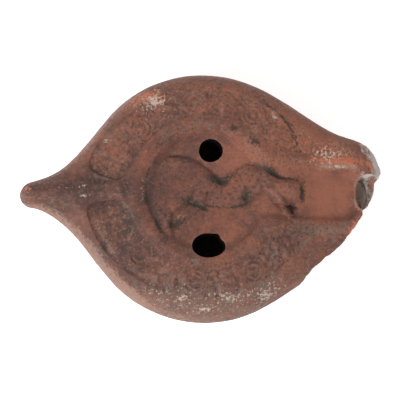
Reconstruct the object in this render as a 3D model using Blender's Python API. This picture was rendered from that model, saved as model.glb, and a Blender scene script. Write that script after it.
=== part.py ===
# Roman oil lamp with a leaping spotted animal, North African red-slip kind, nozzle end broken.
# Metres, +Z up, +X towards the nozzle, origin at the middle of the flat base.
import math

import bmesh
import bpy
import numpy as np

# Sizes of the plan
BODY_RADIUS = 0.0418
HANDLE_TIP_X = -0.0571
HANDLE_TIP_RADIUS = 0.0042
HANDLE_TIP_SWAY = 0.0009
HANDLE_ROOT_X = -0.0202
HANDLE_ROOT_RADIUS = 0.0097
HANDLE_BLEND = 0.0195
NOZZLE_END_X = 0.0595
NOZZLE_HALF_WIDTH = 0.0185
NOZZLE_ROOT_HALF_WIDTH = 0.0148
NOZZLE_ROOT_X = 0.010
NOZZLE_CORNER = 0.011
NOZZLE_BLEND = 0.0226
HANDLE_RISE_FROM_X = -0.036
HANDLE_RISE_TO_X = -0.056
NOZZLE_RISE_FROM_X = 0.006
NOZZLE_RISE_TO_X = 0.054

# Sizes of the top
RIM_HEIGHT = 0.018
HANDLE_RIM_HEIGHT = 0.0228
NOZZLE_RIM_HEIGHT = 0.0255
SHOULDER_HEIGHT = 0.0315
SHOULDER_FALL = 0.0015
SHOULDER_FALL_FROM = 0.025
SHOULDER_FALL_TO = 0.036
SHOULDER_ROLL = 0.0075
HANDLE_ROLL = 0.0046
NOZZLE_ROLL = 0.0058
HANDLE_BAND_HALF_WIDTH = 0.0037
HANDLE_BAND_RISE = 0.0012
HANDLE_BAND_FROM_X = -0.026
HANDLE_BAND_TO_X = -0.030
HANDLE_TIP_RISE = 0.0004
DISCUS_RADIUS = 0.0212
CHANNEL_HALF_WIDTH = 0.0096
CHANNEL_END_GAP = 0.0063
CHANNEL_END_X = NOZZLE_END_X - CHANNEL_END_GAP
RECESS_DEPTH = 0.0018
RECESS_WALL = 0.0020
RECESS_EDGE = 0.0001
RECESS_BLEND = 0.0030
DISCUS_DISH = 0.0006
RIDGE_RISE = 0.0009
RIDGE_OFFSET = 0.0017
RIDGE_WIDTH = 0.00125
RIDGE_FOOT = 0.0042
FIELD_DEPTH = 0.0004
FIELD_EDGE = 0.0007
FIELD_OUTER_RADIUS = 0.0353
FIELD_HANDLE_GAP = 0.0040

# Sizes of the underside
UNDER_ROLL = 0.0195
HANDLE_UNDER_ROLL = 0.0055
NOZZLE_UNDER_ROLL = 0.0130
BOWL_BOTTOM = 0.0010
KEEL_RISE = 0.0210
KEEL_FROM_X = -0.024
KEEL_LENGTH = 0.033
KEEL_HALF_WIDTH = 0.022
NOZZLE_UNDER_FROM_X = 0.024
NOZZLE_UNDER_LENGTH = 0.034
NOZZLE_UNDER_RISE = 0.0120
FOOT_RADIUS = 0.0220
BASE_RADIUS = 0.0212
GROOVE_RADIUS = 0.0178
GROOVE_WIDTH = 0.0020
GROOVE_DEPTH = 0.0006

# Sizes of the hollow and its openings
WALL = 0.0042
FLOOR_THICKNESS = 0.0035
BASE_THICKNESS = 0.0050
HOLLOW_NOZZLE_HALF_WIDTH = 0.0084
HOLLOW_BLEND = 0.0110
HOLLOW_END_GAP = 0.0049
HOLLOW_NOZZLE_END_X = NOZZLE_END_X - HOLLOW_END_GAP
UPPER_HOLE_X = 0.0012
UPPER_HOLE_Y = 0.0140
UPPER_HOLE_RADIUS = 0.0037
LOWER_HOLE_X = 0.0004
LOWER_HOLE_Y = -0.0178
LOWER_HOLE_LENGTH = 0.0108
LOWER_HOLE_WIDTH = 0.0082
WICK_HOLE_GAP = 0.0072
WICK_HOLE_X = NOZZLE_END_X - WICK_HOLE_GAP
WICK_HOLE_Y = 0.0010
WICK_HOLE_HALF_LENGTH = 0.0025
WICK_HOLE_HALF_WIDTH = 0.0056

# Sizes of the break
LIP_HEIGHT = 0.0215
LIP_REAR_X = NOZZLE_END_X - 0.0072
LIP_MIDDLE_X = NOZZLE_END_X - 0.0065
LIP_FRONT_X = NOZZLE_END_X - 0.0019
FACE_CENTRE_X = NOZZLE_END_X - 0.0202
FACE_CENTRE_Y = 0.0050
FACE_RADIUS = 0.0155
FACE_BREADTH = 0.0046
FACE_REAR_X = NOZZLE_END_X - 0.0085
FACE_FROM_Y = 0.0070
FACE_BLEND = 0.0009
FACE_TOP = 0.0303
BREAK_ROUGHNESS = 0.0003
BREAK_UNDERCUT = 0.23
BREAK_SLOPE = 1.30
EDGE_SLOPE = 5.0

# Relief on the discus and the shoulder
ANIMAL_LENGTH = 0.0528
ANIMAL_RELIEF = 0.0013
STAMP_RADIUS = 0.0036
STAMP_RELIEF = 0.00038
STAMPS_PER_FIELD = 7

COLUMNS = 92
HOLLOW_COLUMNS = 36


def ease(low, high, value):
    share = np.clip((value - low) / (high - low), 0.0, 1.0)
    return share * share * (3.0 - 2.0 * share)


def soft_min(a, b, blend):
    share = np.clip(0.5 + 0.5 * (b - a) / blend, 0.0, 1.0)
    return b * (1.0 - share) + a * share - blend * share * (1.0 - share)


def tapered_bar(x, y, x0, r0, x1, r1):
    share = np.clip((x - x0) / (x1 - x0), 0.0, 1.0)
    sway = HANDLE_TIP_SWAY * (1.0 - share)
    return np.hypot(x - (x0 + share * (x1 - x0)), y + sway) - (r0 + (r1 - r0) * share)


def round_ended(x, y, end_x, half_width, corner):
    across = np.abs(y) - (half_width - corner)
    along = x - (end_x - corner)
    outside = np.hypot(np.maximum(across, 0.0), np.maximum(along, 0.0))
    ahead = outside + np.minimum(np.maximum(across, along), 0.0) - corner
    return np.where(x > 0.0, ahead, np.hypot(x, y) - half_width)


# Plan of the lamp: distance to its outline, negative inside
def lamp_plan(x, y):
    body = np.hypot(x, y) - BODY_RADIUS
    handle = tapered_bar(x, y, HANDLE_TIP_X, HANDLE_TIP_RADIUS, HANDLE_ROOT_X, HANDLE_ROOT_RADIUS)
    flare = (NOZZLE_HALF_WIDTH - NOZZLE_ROOT_HALF_WIDTH) / (NOZZLE_END_X - NOZZLE_ROOT_X)
    half_width = NOZZLE_ROOT_HALF_WIDTH + flare * (x - NOZZLE_ROOT_X)
    nozzle = round_ended(x, y, NOZZLE_END_X, half_width, NOZZLE_CORNER)
    with_handle = soft_min(body, handle, HANDLE_BLEND)
    return soft_min(with_handle, nozzle, NOZZLE_BLEND)


# Plan of the recess: the round discus with the channel open to it
def recess_plan(x, y):
    discus = np.hypot(x, y) - DISCUS_RADIUS
    channel = round_ended(x, y, CHANNEL_END_X, CHANNEL_HALF_WIDTH, CHANNEL_HALF_WIDTH * 0.9)
    return soft_min(discus, channel, RECESS_BLEND)


# Plan of the hollow: it stops short of the handle, which is solid
def hollow_plan(x, y):
    body = np.hypot(x, y) - (BODY_RADIUS - WALL)
    nozzle = round_ended(x, y, HOLLOW_NOZZLE_END_X, HOLLOW_NOZZLE_HALF_WIDTH, HOLLOW_NOZZLE_HALF_WIDTH * 0.7)
    return soft_min(body, nozzle, HOLLOW_BLEND)


def roll(depth, width):
    share = np.clip(depth / width, 0.0, 1.0)
    return np.sqrt(1.0 - (1.0 - share) ** 2)


def handle_share(x):
    return ease(HANDLE_RISE_FROM_X, HANDLE_RISE_TO_X, x)


def nozzle_share(x):
    return ease(NOZZLE_RISE_FROM_X, NOZZLE_RISE_TO_X, x)


def rim_level(x):
    level = RIM_HEIGHT + (HANDLE_RIM_HEIGHT - RIM_HEIGHT) * handle_share(x)
    return level + (NOZZLE_RIM_HEIGHT - RIM_HEIGHT) * nozzle_share(x)


# The ridge round the discus is wider where the handle meets it
def handle_side(x, y):
    bearing = np.arctan2(y, -x)
    return np.exp(-((bearing / 0.42) ** 2)) * ease(0.0, -DISCUS_RADIUS * 0.5, x)


def top_height(x, y):
    depth = -lamp_plan(x, y)
    radius = np.hypot(x, y)
    offset = recess_plan(x, y)
    width = SHOULDER_ROLL + (HANDLE_ROLL - SHOULDER_ROLL) * handle_share(x)
    width = width + (NOZZLE_ROLL - SHOULDER_ROLL) * nozzle_share(x)
    crown = SHOULDER_HEIGHT - SHOULDER_FALL * ease(SHOULDER_FALL_FROM, SHOULDER_FALL_TO, radius)
    band = ease(HANDLE_BAND_HALF_WIDTH, HANDLE_BAND_HALF_WIDTH * 0.55, np.abs(y))
    band = band * ease(HANDLE_BAND_FROM_X, HANDLE_BAND_TO_X, x)
    crown = crown + HANDLE_BAND_RISE * band + HANDLE_TIP_RISE * handle_share(x)
    rim = rim_level(x)
    height = rim + (crown - rim) * roll(depth, width)
    side = handle_side(x, y)
    ridge_width = RIDGE_WIDTH * (1.0 + 1.3 * side)
    ridge_offset = RIDGE_OFFSET * (1.0 + 1.3 * side)
    height = height + RIDGE_RISE * np.exp(-(((offset - ridge_offset) / ridge_width) ** 2))
    floor_share = ease(-RECESS_EDGE, -RECESS_EDGE - RECESS_WALL, offset)
    dish = DISCUS_DISH * ease(DISCUS_RADIUS, DISCUS_RADIUS * 0.3, radius)
    height = height - (RECESS_DEPTH + dish) * floor_share
    return height - FIELD_DEPTH * field_share(x, y)


# Sunk fields of the shoulder, one on each side of the handle and nozzle
def field_share(x, y):
    radius = np.hypot(x, y)
    offset = recess_plan(x, y)
    inside = np.minimum(offset - RIDGE_FOOT * (1.0 + 0.9 * handle_side(x, y)), FIELD_OUTER_RADIUS - radius)
    gap = np.where(x < 0.0, np.abs(y) - FIELD_HANDLE_GAP, 1.0)
    return ease(0.0, FIELD_EDGE, np.minimum(inside, gap))


def keel_rise(x):
    return KEEL_RISE * (np.maximum(0.0, KEEL_FROM_X - x) / KEEL_LENGTH) ** 1.3


def front_rise(x):
    return NOZZLE_UNDER_RISE * np.clip((x - NOZZLE_UNDER_FROM_X) / NOZZLE_UNDER_LENGTH, 0.0, 1.2) ** 1.2


def bottom_height(x, y):
    depth = -lamp_plan(x, y)
    width = UNDER_ROLL + (HANDLE_UNDER_ROLL - UNDER_ROLL) * ease(HANDLE_BAND_TO_X, HANDLE_RISE_TO_X, x)
    width = width + (NOZZLE_UNDER_ROLL - UNDER_ROLL) * nozzle_share(x)
    keel = keel_rise(x) * np.exp(-((y / KEEL_HALF_WIDTH) ** 2))
    rim = rim_level(x)
    bottom = np.minimum(BOWL_BOTTOM + keel + front_rise(x), rim - WALL * 0.5)
    return rim - (rim - bottom) * roll(depth, width)


# How far out along each bearing a plan reaches a given value
def reach(plan, cosine, sine, value):
    low = np.zeros_like(cosine)
    high = np.full_like(cosine, BODY_RADIUS * 1.8)
    for step in range(44):
        middle = (low + high) * 0.5
        inside = plan(middle * cosine, middle * sine) < value
        low = np.where(inside, middle, low)
        high = np.where(inside, high, middle)
    return low


# Bearings of the columns, closer together at the handle and along the channel
def bearings(count):
    fine = np.linspace(-math.pi, math.pi, 7201)
    size = np.abs(fine)
    weight = 1.0 + 1.9 * np.exp(-(((size - math.pi) / 0.24) ** 2))
    weight = weight + 1.5 * np.exp(-(((size - 0.33) / 0.17) ** 2))
    total = np.concatenate([[0.0], np.cumsum((weight[1:] + weight[:-1]) * 0.5)])
    marks = np.arange(count) * total[-1] / count
    return np.interp(marks, total, fine)


# The outer form is a ball whose rings and columns are pressed to the plan and its heights
def outer_rings(cosine, sine):
    rings = []
    rim = reach(lamp_plan, cosine, sine, 0.0)
    edge = reach(recess_plan, cosine, sine, -RECESS_EDGE - RECESS_WALL)
    for share in (0.0, 0.38, 0.74):
        rings.append((edge * share, "top"))
    for offset in (-RECESS_EDGE - RECESS_WALL, -RECESS_EDGE, RIDGE_OFFSET * 0.4, RIDGE_OFFSET, RIDGE_OFFSET * 1.7):
        rings.append((reach(recess_plan, cosine, sine, offset), "top"))
    side = handle_side(cosine * DISCUS_RADIUS * 1.3, sine * DISCUS_RADIUS * 1.3)
    foot = reach(recess_plan, cosine, sine, RIDGE_FOOT) + RIDGE_FOOT * 0.9 * side
    inner = foot + FIELD_EDGE
    outer = np.maximum(FIELD_OUTER_RADIUS - FIELD_EDGE, inner + FIELD_EDGE * 0.8)
    crest = np.maximum(FIELD_OUTER_RADIUS, outer + FIELD_EDGE * 0.8)
    rings.append((foot, "top"))
    rings.append((inner, "top"))
    rings.append(((inner + outer) * 0.5, "top"))
    rings.append((outer, "top"))
    rings.append((crest, "top"))
    spare = np.minimum(-lamp_plan(crest * cosine, crest * sine), SHOULDER_ROLL * 0.8)
    for share in (0.76, 0.50, 0.28, 0.12, 0.03):
        rings.append((reach_in(cosine, sine, spare * share), "top"))
    rings.append((rim, "rim"))
    under = np.minimum(-lamp_plan(FOOT_RADIUS * cosine, FOOT_RADIUS * sine), UNDER_ROLL)
    for share in (0.015, 0.06, 0.15, 0.29, 0.48, 0.72):
        rings.append((reach_in(cosine, sine, under * share), "under"))
    rings.append((np.full_like(cosine, FOOT_RADIUS), "under"))
    half = GROOVE_WIDTH * 0.5
    for radius, height in (
        (BASE_RADIUS, 0.0),
        (GROOVE_RADIUS + half, 0.0),
        (GROOVE_RADIUS + half * 0.3, GROOVE_DEPTH),
        (GROOVE_RADIUS - half * 0.3, GROOVE_DEPTH),
        (GROOVE_RADIUS - half, 0.0),
        (GROOVE_RADIUS * 0.45, 0.0),
        (0.0, 0.0),
    ):
        rings.append((np.full_like(cosine, radius), height))
    return rings


def reach_in(cosine, sine, depth):
    return reach(lambda x, y: lamp_plan(x, y), cosine, sine, -depth)


def ball_to_form(name, columns, radii, heights, angles):
    mesh = bpy.data.meshes.new(name)
    form = bmesh.new()
    last = len(radii) - 1
    bmesh.ops.create_uvsphere(form, u_segments=columns, v_segments=last, radius=1.0)
    for vert in form.verts:
        ring = int(round(math.acos(max(-1.0, min(1.0, vert.co.z))) * last / math.pi))
        turn = math.atan2(vert.co.y, vert.co.x) + math.pi
        column = int(round(turn * columns / (2.0 * math.pi))) % columns
        distance = radii[ring][column]
        angle = angles[column]
        vert.co = (distance * math.cos(angle), distance * math.sin(angle), heights[ring][column])
    bmesh.ops.remove_doubles(form, verts=form.verts, dist=0.000001)
    bmesh.ops.triangulate(form, faces=form.faces, quad_method="SHORT_EDGE")
    face_outward(form)
    form.to_mesh(mesh)
    form.free()
    return add_object(name, mesh)


def face_outward(form):
    bmesh.ops.recalc_face_normals(form, faces=form.faces)
    if form.calc_volume(signed=True) < 0.0:
        bmesh.ops.reverse_faces(form, faces=form.faces)


def add_object(name, mesh):
    item = bpy.data.objects.new(name, mesh)
    bpy.context.scene.collection.objects.link(item)
    return item


def make_outer():
    angles = bearings(COLUMNS)
    cosine = np.cos(angles)
    sine = np.sin(angles)
    radii = []
    heights = []
    for distance, kind in outer_rings(cosine, sine):
        x = distance * cosine
        y = distance * sine
        if kind == "top":
            height = top_height(x, y)
        elif kind == "rim":
            height = rim_level(x)
        elif kind == "under":
            height = bottom_height(x, y)
        else:
            height = np.full_like(x, kind)
        if distance[0] == 0.0:
            height = np.full_like(x, height[0])
        radii.append(distance)
        heights.append(height)
    return ball_to_form("lamp_body", COLUMNS, radii, heights, angles)


def make_hollow():
    angles = bearings(HOLLOW_COLUMNS)
    cosine = np.cos(angles)
    sine = np.sin(angles)
    edge = reach(hollow_plan, cosine, sine, 0.0)
    radii = []
    heights = []
    roof_line = SHOULDER_HEIGHT - RECESS_DEPTH - DISCUS_DISH - FLOOR_THICKNESS
    shares = (0.0, 0.35, 0.65, 0.84, 0.94, 0.985, 1.0, 0.975, 0.90, 0.78, 0.60, 0.35, 0.0)
    middle = shares.index(1.0)
    for index, share in enumerate(shares):
        distance = edge * share
        x = distance * cosine
        y = distance * sine
        depth = -hollow_plan(x, y)
        rim = np.minimum(rim_level(x), roof_line - WALL * 0.6)
        floor = np.minimum(BASE_THICKNESS + keel_rise(x) + front_rise(x), rim - WALL)
        if index < middle:
            height = rim + (roof_line - rim) * roll(depth, SHOULDER_ROLL * 0.7)
        else:
            height = rim - (rim - floor) * roll(depth, UNDER_ROLL - WALL)
        height = np.where(index == middle, rim, height)
        if share == 0.0:
            height = np.full_like(x, height[0])
        radii.append(distance)
        heights.append(height)
    return ball_to_form("hollow_cutter", HOLLOW_COLUMNS, radii, heights, angles)


# A short plug whose outline wavers like a hole pushed through by hand
def make_plug(name, x, y, half_x, half_y, low, high, spread, waver, corner):
    mesh = bpy.data.meshes.new(name)
    form = bmesh.new()
    bmesh.ops.create_cone(
        form, cap_ends=True, segments=24, radius1=1.0, radius2=1.0, depth=1.0
    )
    for vert in form.verts:
        angle = math.atan2(vert.co.y, vert.co.x)
        wave = 1.0 + waver * (math.sin(2.0 * angle + 0.7) + 0.6 * math.sin(3.0 * angle + 2.1))
        wave = wave + corner * math.exp(-(((angle - 0.75) / 0.30) ** 2))
        top = vert.co.z > 0.0
        grow = wave * (1.0 + (spread if top else 0.0))
        height = high if top else low
        vert.co = (x + half_x * grow * math.cos(angle), y + half_y * grow * math.sin(angle), height)
    face_outward(form)
    form.to_mesh(mesh)
    form.free()
    return add_object(name, mesh)


# Where the nozzle broke away, as shares of its end, its half width and the shoulder's height
BREAK_LINE = (
    (1.076, 0.703, 0.762),
    (0.995, 0.460, 0.762),
    (0.976, 0.324, 0.698),
    (0.970, 0.184, 0.683),
    (0.949, 0.011, 0.683),
    (0.918, -0.151, 0.683),
    (0.884, -0.281, 0.794),
    (0.845, -0.460, 0.921),
    (0.817, -0.595, 0.952),
    (0.787, -0.741, 0.952),
    (0.745, -0.903, 0.921),
    (0.691, -1.059, 0.889),
    (0.625, -1.222, 0.825),
    (0.575, -1.383, 0.762),
    (0.548, -1.503, 0.667),
    (0.513, -1.675, 0.571),
    (0.487, -1.946, 0.571),
)
BREAK_LEVELS = (-0.20, 0.10, 0.28, 0.44, 0.57, 0.70, 0.83, 0.95, 1.27)


def rough(a, b):
    wave = math.sin(a * 2.3 + b * 1.7) + 0.7 * math.sin(a * 4.1 - b * 2.9 + 1.3)
    return 0.5 * (wave + 0.5 * math.sin(a * 0.9 + b * 5.3 + 0.4))


def make_flank_break():
    line = np.array(BREAK_LINE) * np.array((NOZZLE_END_X, NOZZLE_HALF_WIDTH, SHOULDER_HEIGHT))
    along = np.gradient(line[:, :2], axis=0)
    along = along / np.hypot(along[:, 0], along[:, 1])[:, None]
    mesh = bpy.data.meshes.new("flank_break")
    form = bmesh.new()
    count = len(BREAK_LINE)
    levels = len(BREAK_LEVELS)
    bmesh.ops.create_grid(form, x_segments=count - 1, y_segments=levels - 1, size=1.0)
    for vert in form.verts:
        step = int(round((vert.co.x + 1.0) * 0.5 * (count - 1)))
        level = int(round((vert.co.y + 1.0) * 0.5 * (levels - 1)))
        height = BREAK_LEVELS[level] * SHOULDER_HEIGHT
        inward = BREAK_UNDERCUT * max(0.0, line[step, 2] - height) - 0.05 * max(0.0, height - line[step, 2])
        inward = inward + BREAK_ROUGHNESS * rough(step, level)
        x = line[step, 0] + inward * along[step, 1]
        y = line[step, 1] - inward * along[step, 0]
        vert.co = (x, y, height)
    return close_sheet(form, mesh, (NOZZLE_END_X * 0.5, -NOZZLE_END_X * 0.5, 0.0), "flank_break")


# The front of the top is gone down to a low lip, with a steep rough face on the far side
def make_front_break():
    mesh = bpy.data.meshes.new("front_break")
    form = bmesh.new()
    columns = 14
    rows = 16
    bmesh.ops.create_grid(form, x_segments=columns, y_segments=rows, size=1.0)
    for vert in form.verts:
        across = (vert.co.x + 1.0) * 0.5
        down = (vert.co.y + 1.0) * 0.5
        x = NOZZLE_END_X * (0.824 + 0.252 * across)
        y = NOZZLE_HALF_WIDTH * (-0.53 + 1.75 * down)
        lip = LIP_HEIGHT - 0.3 * (x - LIP_MIDDLE_X) - 6.0 * max(0.0, x - LIP_FRONT_X)
        lip = lip + 14.0 * max(0.0, LIP_REAR_X - x)
        out = math.hypot(x - FACE_CENTRE_X, y - FACE_CENTRE_Y) - FACE_RADIUS
        face = FACE_TOP - BREAK_SLOPE * out + 1.5 * max(0.0, FACE_REAR_X - x)
        face = face - EDGE_SLOPE * max(0.0, out - FACE_BREADTH)
        share = float(ease(FACE_FROM_Y - FACE_BLEND * 1.5, FACE_FROM_Y + FACE_BLEND * 0.5, y))
        height = lip * (1.0 - share) + face * share
        height = height + BREAK_ROUGHNESS * rough(across * 14.0, down * 16.0)
        vert.co = (x, y, max(-SHOULDER_HEIGHT * 0.13, min(SHOULDER_HEIGHT * 1.4, height)))
    return close_sheet(form, mesh, (0.0, 0.0, SHOULDER_HEIGHT * 1.6), "front_break")


def close_sheet(form, mesh, push, name):
    made = bmesh.ops.extrude_face_region(form, geom=form.faces[:], use_keep_orig=True)
    moved = [item for item in made["geom"] if isinstance(item, bmesh.types.BMVert)]
    bmesh.ops.translate(form, verts=moved, vec=push)
    bmesh.ops.triangulate(form, faces=form.faces)
    face_outward(form)
    form.to_mesh(mesh)
    form.free()
    return add_object(name, mesh)


# The animal's parts as shares of its length: x, y and half width along each, and their relief
ANIMAL = (
    (
        "leaping_body",
        1.00,
        (
            (-0.380, 0.019, 0.057),
            (-0.323, 0.044, 0.108),
            (-0.247, 0.066, 0.152),
            (-0.158, 0.073, 0.152),
            (-0.076, 0.054, 0.130),
            (0.006, 0.016, 0.098),
            (0.089, -0.011, 0.078),
            (0.158, 0.008, 0.094),
            (0.215, 0.041, 0.113),
            (0.272, 0.076, 0.106),
            (0.329, 0.092, 0.087),
            (0.380, 0.080, 0.068),
            (0.436, 0.052, 0.060),
            (0.493, 0.032, 0.068),
            (0.544, 0.028, 0.066),
            (0.588, 0.028, 0.024),
        ),
    ),
    (
        "hind_leg",
        0.80,
        (
            (-0.221, 0.019, 0.127),
            (-0.278, -0.082, 0.089),
            (-0.272, -0.152, 0.057),
            (-0.259, -0.215, 0.038),
            (-0.237, -0.266, 0.028),
        ),
    ),
    (
        "far_leg",
        0.45,
        ((-0.044, -0.063, 0.042), (-0.120, -0.120, 0.038), (-0.170, -0.150, 0.026)),
    ),
    (
        "foreleg",
        0.70,
        (
            (0.280, 0.050, 0.044),
            (0.367, 0.048, 0.040),
            (0.421, 0.020, 0.036),
            (0.455, -0.032, 0.032),
            (0.487, -0.085, 0.031),
            (0.520, -0.134, 0.027),
        ),
    ),
)


# A smooth curve through a few points, share running from 0 to 1
def curve(points, share):
    table = np.array(points)
    place = min(max(share, 0.0), 1.0) * (len(table) - 1)
    index = min(int(place), len(table) - 2)
    part = place - index
    before = table[max(index - 1, 0)]
    start = table[index]
    end = table[index + 1]
    after = table[min(index + 2, len(table) - 1)]
    rise = 2.0 * start + (end - before) * part
    rise = rise + (2.0 * before - 5.0 * start + 4.0 * end - after) * part ** 2
    return 0.5 * (rise + (3.0 * start - before - 3.0 * end + after) * part ** 3)


# A low rounded form along a curve, lying on the pressed surface
def make_loft(name, points, rise, rings):
    mesh = bpy.data.meshes.new(name)
    form = bmesh.new()
    bmesh.ops.create_uvsphere(form, u_segments=14, v_segments=rings, radius=1.0)
    for vert in form.verts:
        share = math.acos(max(-1.0, min(1.0, vert.co.z))) / math.pi
        turn = math.atan2(vert.co.y, vert.co.x)
        here = curve(points, share) * ANIMAL_LENGTH
        ahead = curve(points, share + 0.02) - curve(points, share - 0.02)
        size = math.hypot(ahead[0], ahead[1])
        closing = math.sqrt(max(0.0, 1.0 - abs(2.0 * share - 1.0) ** 6))
        across = here[2] * closing * math.cos(turn)
        x = here[0] - across * ahead[1] / size
        y = here[1] + across * ahead[0] / size
        ground = float(top_height(np.array([x]), np.array([y]))[0])
        vert.co = (x, y, ground - rise * 0.12 + rise * 1.12 * closing * math.sin(turn))
    bmesh.ops.remove_doubles(form, verts=form.verts, dist=0.000001)
    face_outward(form)
    form.to_mesh(mesh)
    form.free()
    return add_object(name, mesh)


# Worn stamps: ringed circles and leaves in turn along each field
def make_stamps():
    mesh = bpy.data.meshes.new("stamps")
    form = bmesh.new()
    middle = (DISCUS_RADIUS + RIDGE_FOOT + FIELD_OUTER_RADIUS) * 0.5
    size = min(STAMP_RADIUS, (FIELD_OUTER_RADIUS - DISCUS_RADIUS - RIDGE_FOOT) * 0.36)
    for side in (-1.0, 1.0):
        for index in range(STAMPS_PER_FIELD):
            share = (index + 0.5) / STAMPS_PER_FIELD
            angle = side * math.radians(31.0 + (165.0 - 31.0) * share)
            x = middle * math.cos(angle)
            y = middle * math.sin(angle)
            if index % 2 == 0:
                add_leaf(form, x, y, size, angle)
            else:
                add_ring_stamp(form, x, y, size)
    for vert in form.verts:
        ground = float(top_height(np.array([vert.co.x]), np.array([vert.co.y]))[0])
        vert.co.z = ground + STAMP_RELIEF * vert.co.z
    face_outward(form)
    form.to_mesh(mesh)
    form.free()
    return add_object("stamps", mesh)


def add_leaf(form, x, y, size, angle):
    made = bmesh.ops.create_uvsphere(form, u_segments=12, v_segments=4, radius=1.0)
    for vert in made["verts"]:
        along = vert.co.x * size
        across = vert.co.y * size * 0.70 * (1.0 + 0.35 * vert.co.x)
        here_x = x + along * math.cos(angle) - across * math.sin(angle)
        here_y = y + along * math.sin(angle) + across * math.cos(angle)
        vert.co = (here_x, here_y, vert.co.z)


def add_ring_stamp(form, x, y, size):
    made = bmesh.ops.create_uvsphere(form, u_segments=8, v_segments=4, radius=1.0)
    for vert in made["verts"]:
        vert.co = (x + vert.co.x * size * 0.34, y + vert.co.y * size * 0.34, vert.co.z)
    ring = []
    for step in range(4):
        turn = step * math.pi / 2.0
        far = size * (0.82 + 0.17 * math.cos(turn))
        ring.append(form.verts.new((x + far, y, math.sin(turn))))
    edges = [form.edges.new((ring[step], ring[(step + 1) % 4])) for step in range(4)]
    bmesh.ops.spin(
        form,
        geom=ring + edges,
        cent=(x, y, 0.0),
        axis=(0.0, 0.0, 1.0),
        angle=2.0 * math.pi,
        steps=14,
        use_merge=True,
        use_normal_flip=False,
        use_duplicate=False,
    )


def combine(target, tool, operation):
    tool.hide_render = True
    tool.display_type = "WIRE"
    step = target.modifiers.new(tool.name, "BOOLEAN")
    step.operation = operation
    step.solver = "EXACT"
    step.object = tool


def clay():
    material = bpy.data.materials.new("red_slip_clay")
    material.use_nodes = True
    shader = material.node_tree.nodes["Principled BSDF"]
    shader.inputs["Base Color"].default_value = (0.205, 0.098, 0.066, 1.0)
    shader.inputs["Roughness"].default_value = 0.78
    shader.inputs["Metallic"].default_value = 0.0
    return material


def build():
    for item in list(bpy.data.objects):
        bpy.data.objects.remove(item, do_unlink=True)
    lamp = make_outer()
    for name, relief, points in ANIMAL:
        rings = 24 if len(points) > 6 else 10
        combine(lamp, make_loft(name, points, relief * ANIMAL_RELIEF, rings), "UNION")
    combine(lamp, make_stamps(), "UNION")
    combine(lamp, make_hollow(), "DIFFERENCE")
    roof = SHOULDER_HEIGHT - RECESS_DEPTH - DISCUS_DISH - FLOOR_THICKNESS
    low = roof - WALL * 1.4
    high = SHOULDER_HEIGHT + WALL * 0.7
    upper = make_plug(
        "upper_hole", UPPER_HOLE_X, UPPER_HOLE_Y, UPPER_HOLE_RADIUS, UPPER_HOLE_RADIUS,
        low, high, 0.06, 0.03, 0.0,
    )
    lower = make_plug(
        "lower_hole", LOWER_HOLE_X, LOWER_HOLE_Y, LOWER_HOLE_LENGTH * 0.5, LOWER_HOLE_WIDTH * 0.5,
        low, high, 0.06, 0.04, 0.22,
    )
    wick = make_plug(
        "wick_hole", WICK_HOLE_X, WICK_HOLE_Y, WICK_HOLE_HALF_LENGTH, WICK_HOLE_HALF_WIDTH,
        roof - WALL * 1.2, high, 0.04, 0.02, 0.0,
    )
    for plug in (upper, lower, wick, make_front_break(), make_flank_break()):
        combine(lamp, plug, "DIFFERENCE")
    lamp.data.materials.append(clay())
    for face in lamp.data.polygons:
        face.use_smooth = True


build()
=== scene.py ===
# %% [markdown]
# # A pressed clay oil lamp, seen from above
# The lamp is one piece of red clay. A potter pressed soft clay into two mould halves, joined them,
# pushed holes through the sunken disc and the nozzle, dipped the lamp in a thin red slip and fired it.
# Later the end of the nozzle broke away. The scene loads the plain solid first and hides it once the
# finished piece stands in for it. The finished piece has to stay the same size.

import math

import bmesh
import bpy
import numpy as np
from mathutils import Matrix, Vector, noise


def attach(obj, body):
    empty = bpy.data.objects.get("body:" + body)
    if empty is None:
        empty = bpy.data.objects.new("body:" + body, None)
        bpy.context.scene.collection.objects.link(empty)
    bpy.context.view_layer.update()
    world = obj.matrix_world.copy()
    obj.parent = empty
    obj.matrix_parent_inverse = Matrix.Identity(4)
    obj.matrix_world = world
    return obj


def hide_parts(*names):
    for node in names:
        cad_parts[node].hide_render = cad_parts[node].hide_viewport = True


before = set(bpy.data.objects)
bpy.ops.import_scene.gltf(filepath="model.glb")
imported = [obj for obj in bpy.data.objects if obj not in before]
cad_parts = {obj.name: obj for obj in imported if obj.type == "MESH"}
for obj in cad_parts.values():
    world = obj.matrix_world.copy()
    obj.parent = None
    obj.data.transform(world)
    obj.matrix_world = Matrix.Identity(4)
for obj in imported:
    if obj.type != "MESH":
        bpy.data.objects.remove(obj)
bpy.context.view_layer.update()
scene = bpy.context.scene

# %% [markdown]
# ## The camera
# The photograph looks down on the lamp from almost straight overhead, leaning a little towards its
# lower left. A long lens keeps the near discus and the far rim almost the same scale. The camera's
# axes are worked out from that lean, so that the handle points left and the nozzle right.

# %% The camera
VIEW_DISTANCE = 0.80
VIEW_LEAN_X = -0.111
VIEW_LEAN_Y = -0.181
FRAME_CENTRE = Vector((-0.0011, -0.0005, 0.0180))
FRAME_WIDTH = 0.1336

towards = Vector((VIEW_LEAN_X, VIEW_LEAN_Y, 1.0)).normalized()
upright = (Vector((0.0, 1.0, 0.0)) - towards * towards.y).normalized()
sideways = upright.cross(towards)
camera_data = bpy.data.cameras.new("overhead_camera")
camera_data.sensor_width = 36.0
camera_data.lens = 36.0 * VIEW_DISTANCE / FRAME_WIDTH
camera = bpy.data.objects.new("overhead_camera", camera_data)
camera.rotation_euler = Matrix((sideways, upright, towards)).transposed().to_euler()
camera.location = FRAME_CENTRE + towards * VIEW_DISTANCE
scene.collection.objects.link(camera)
scene.camera = camera
print("lens", round(camera_data.lens, 1), "mm at", VIEW_DISTANCE, "m")
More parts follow.
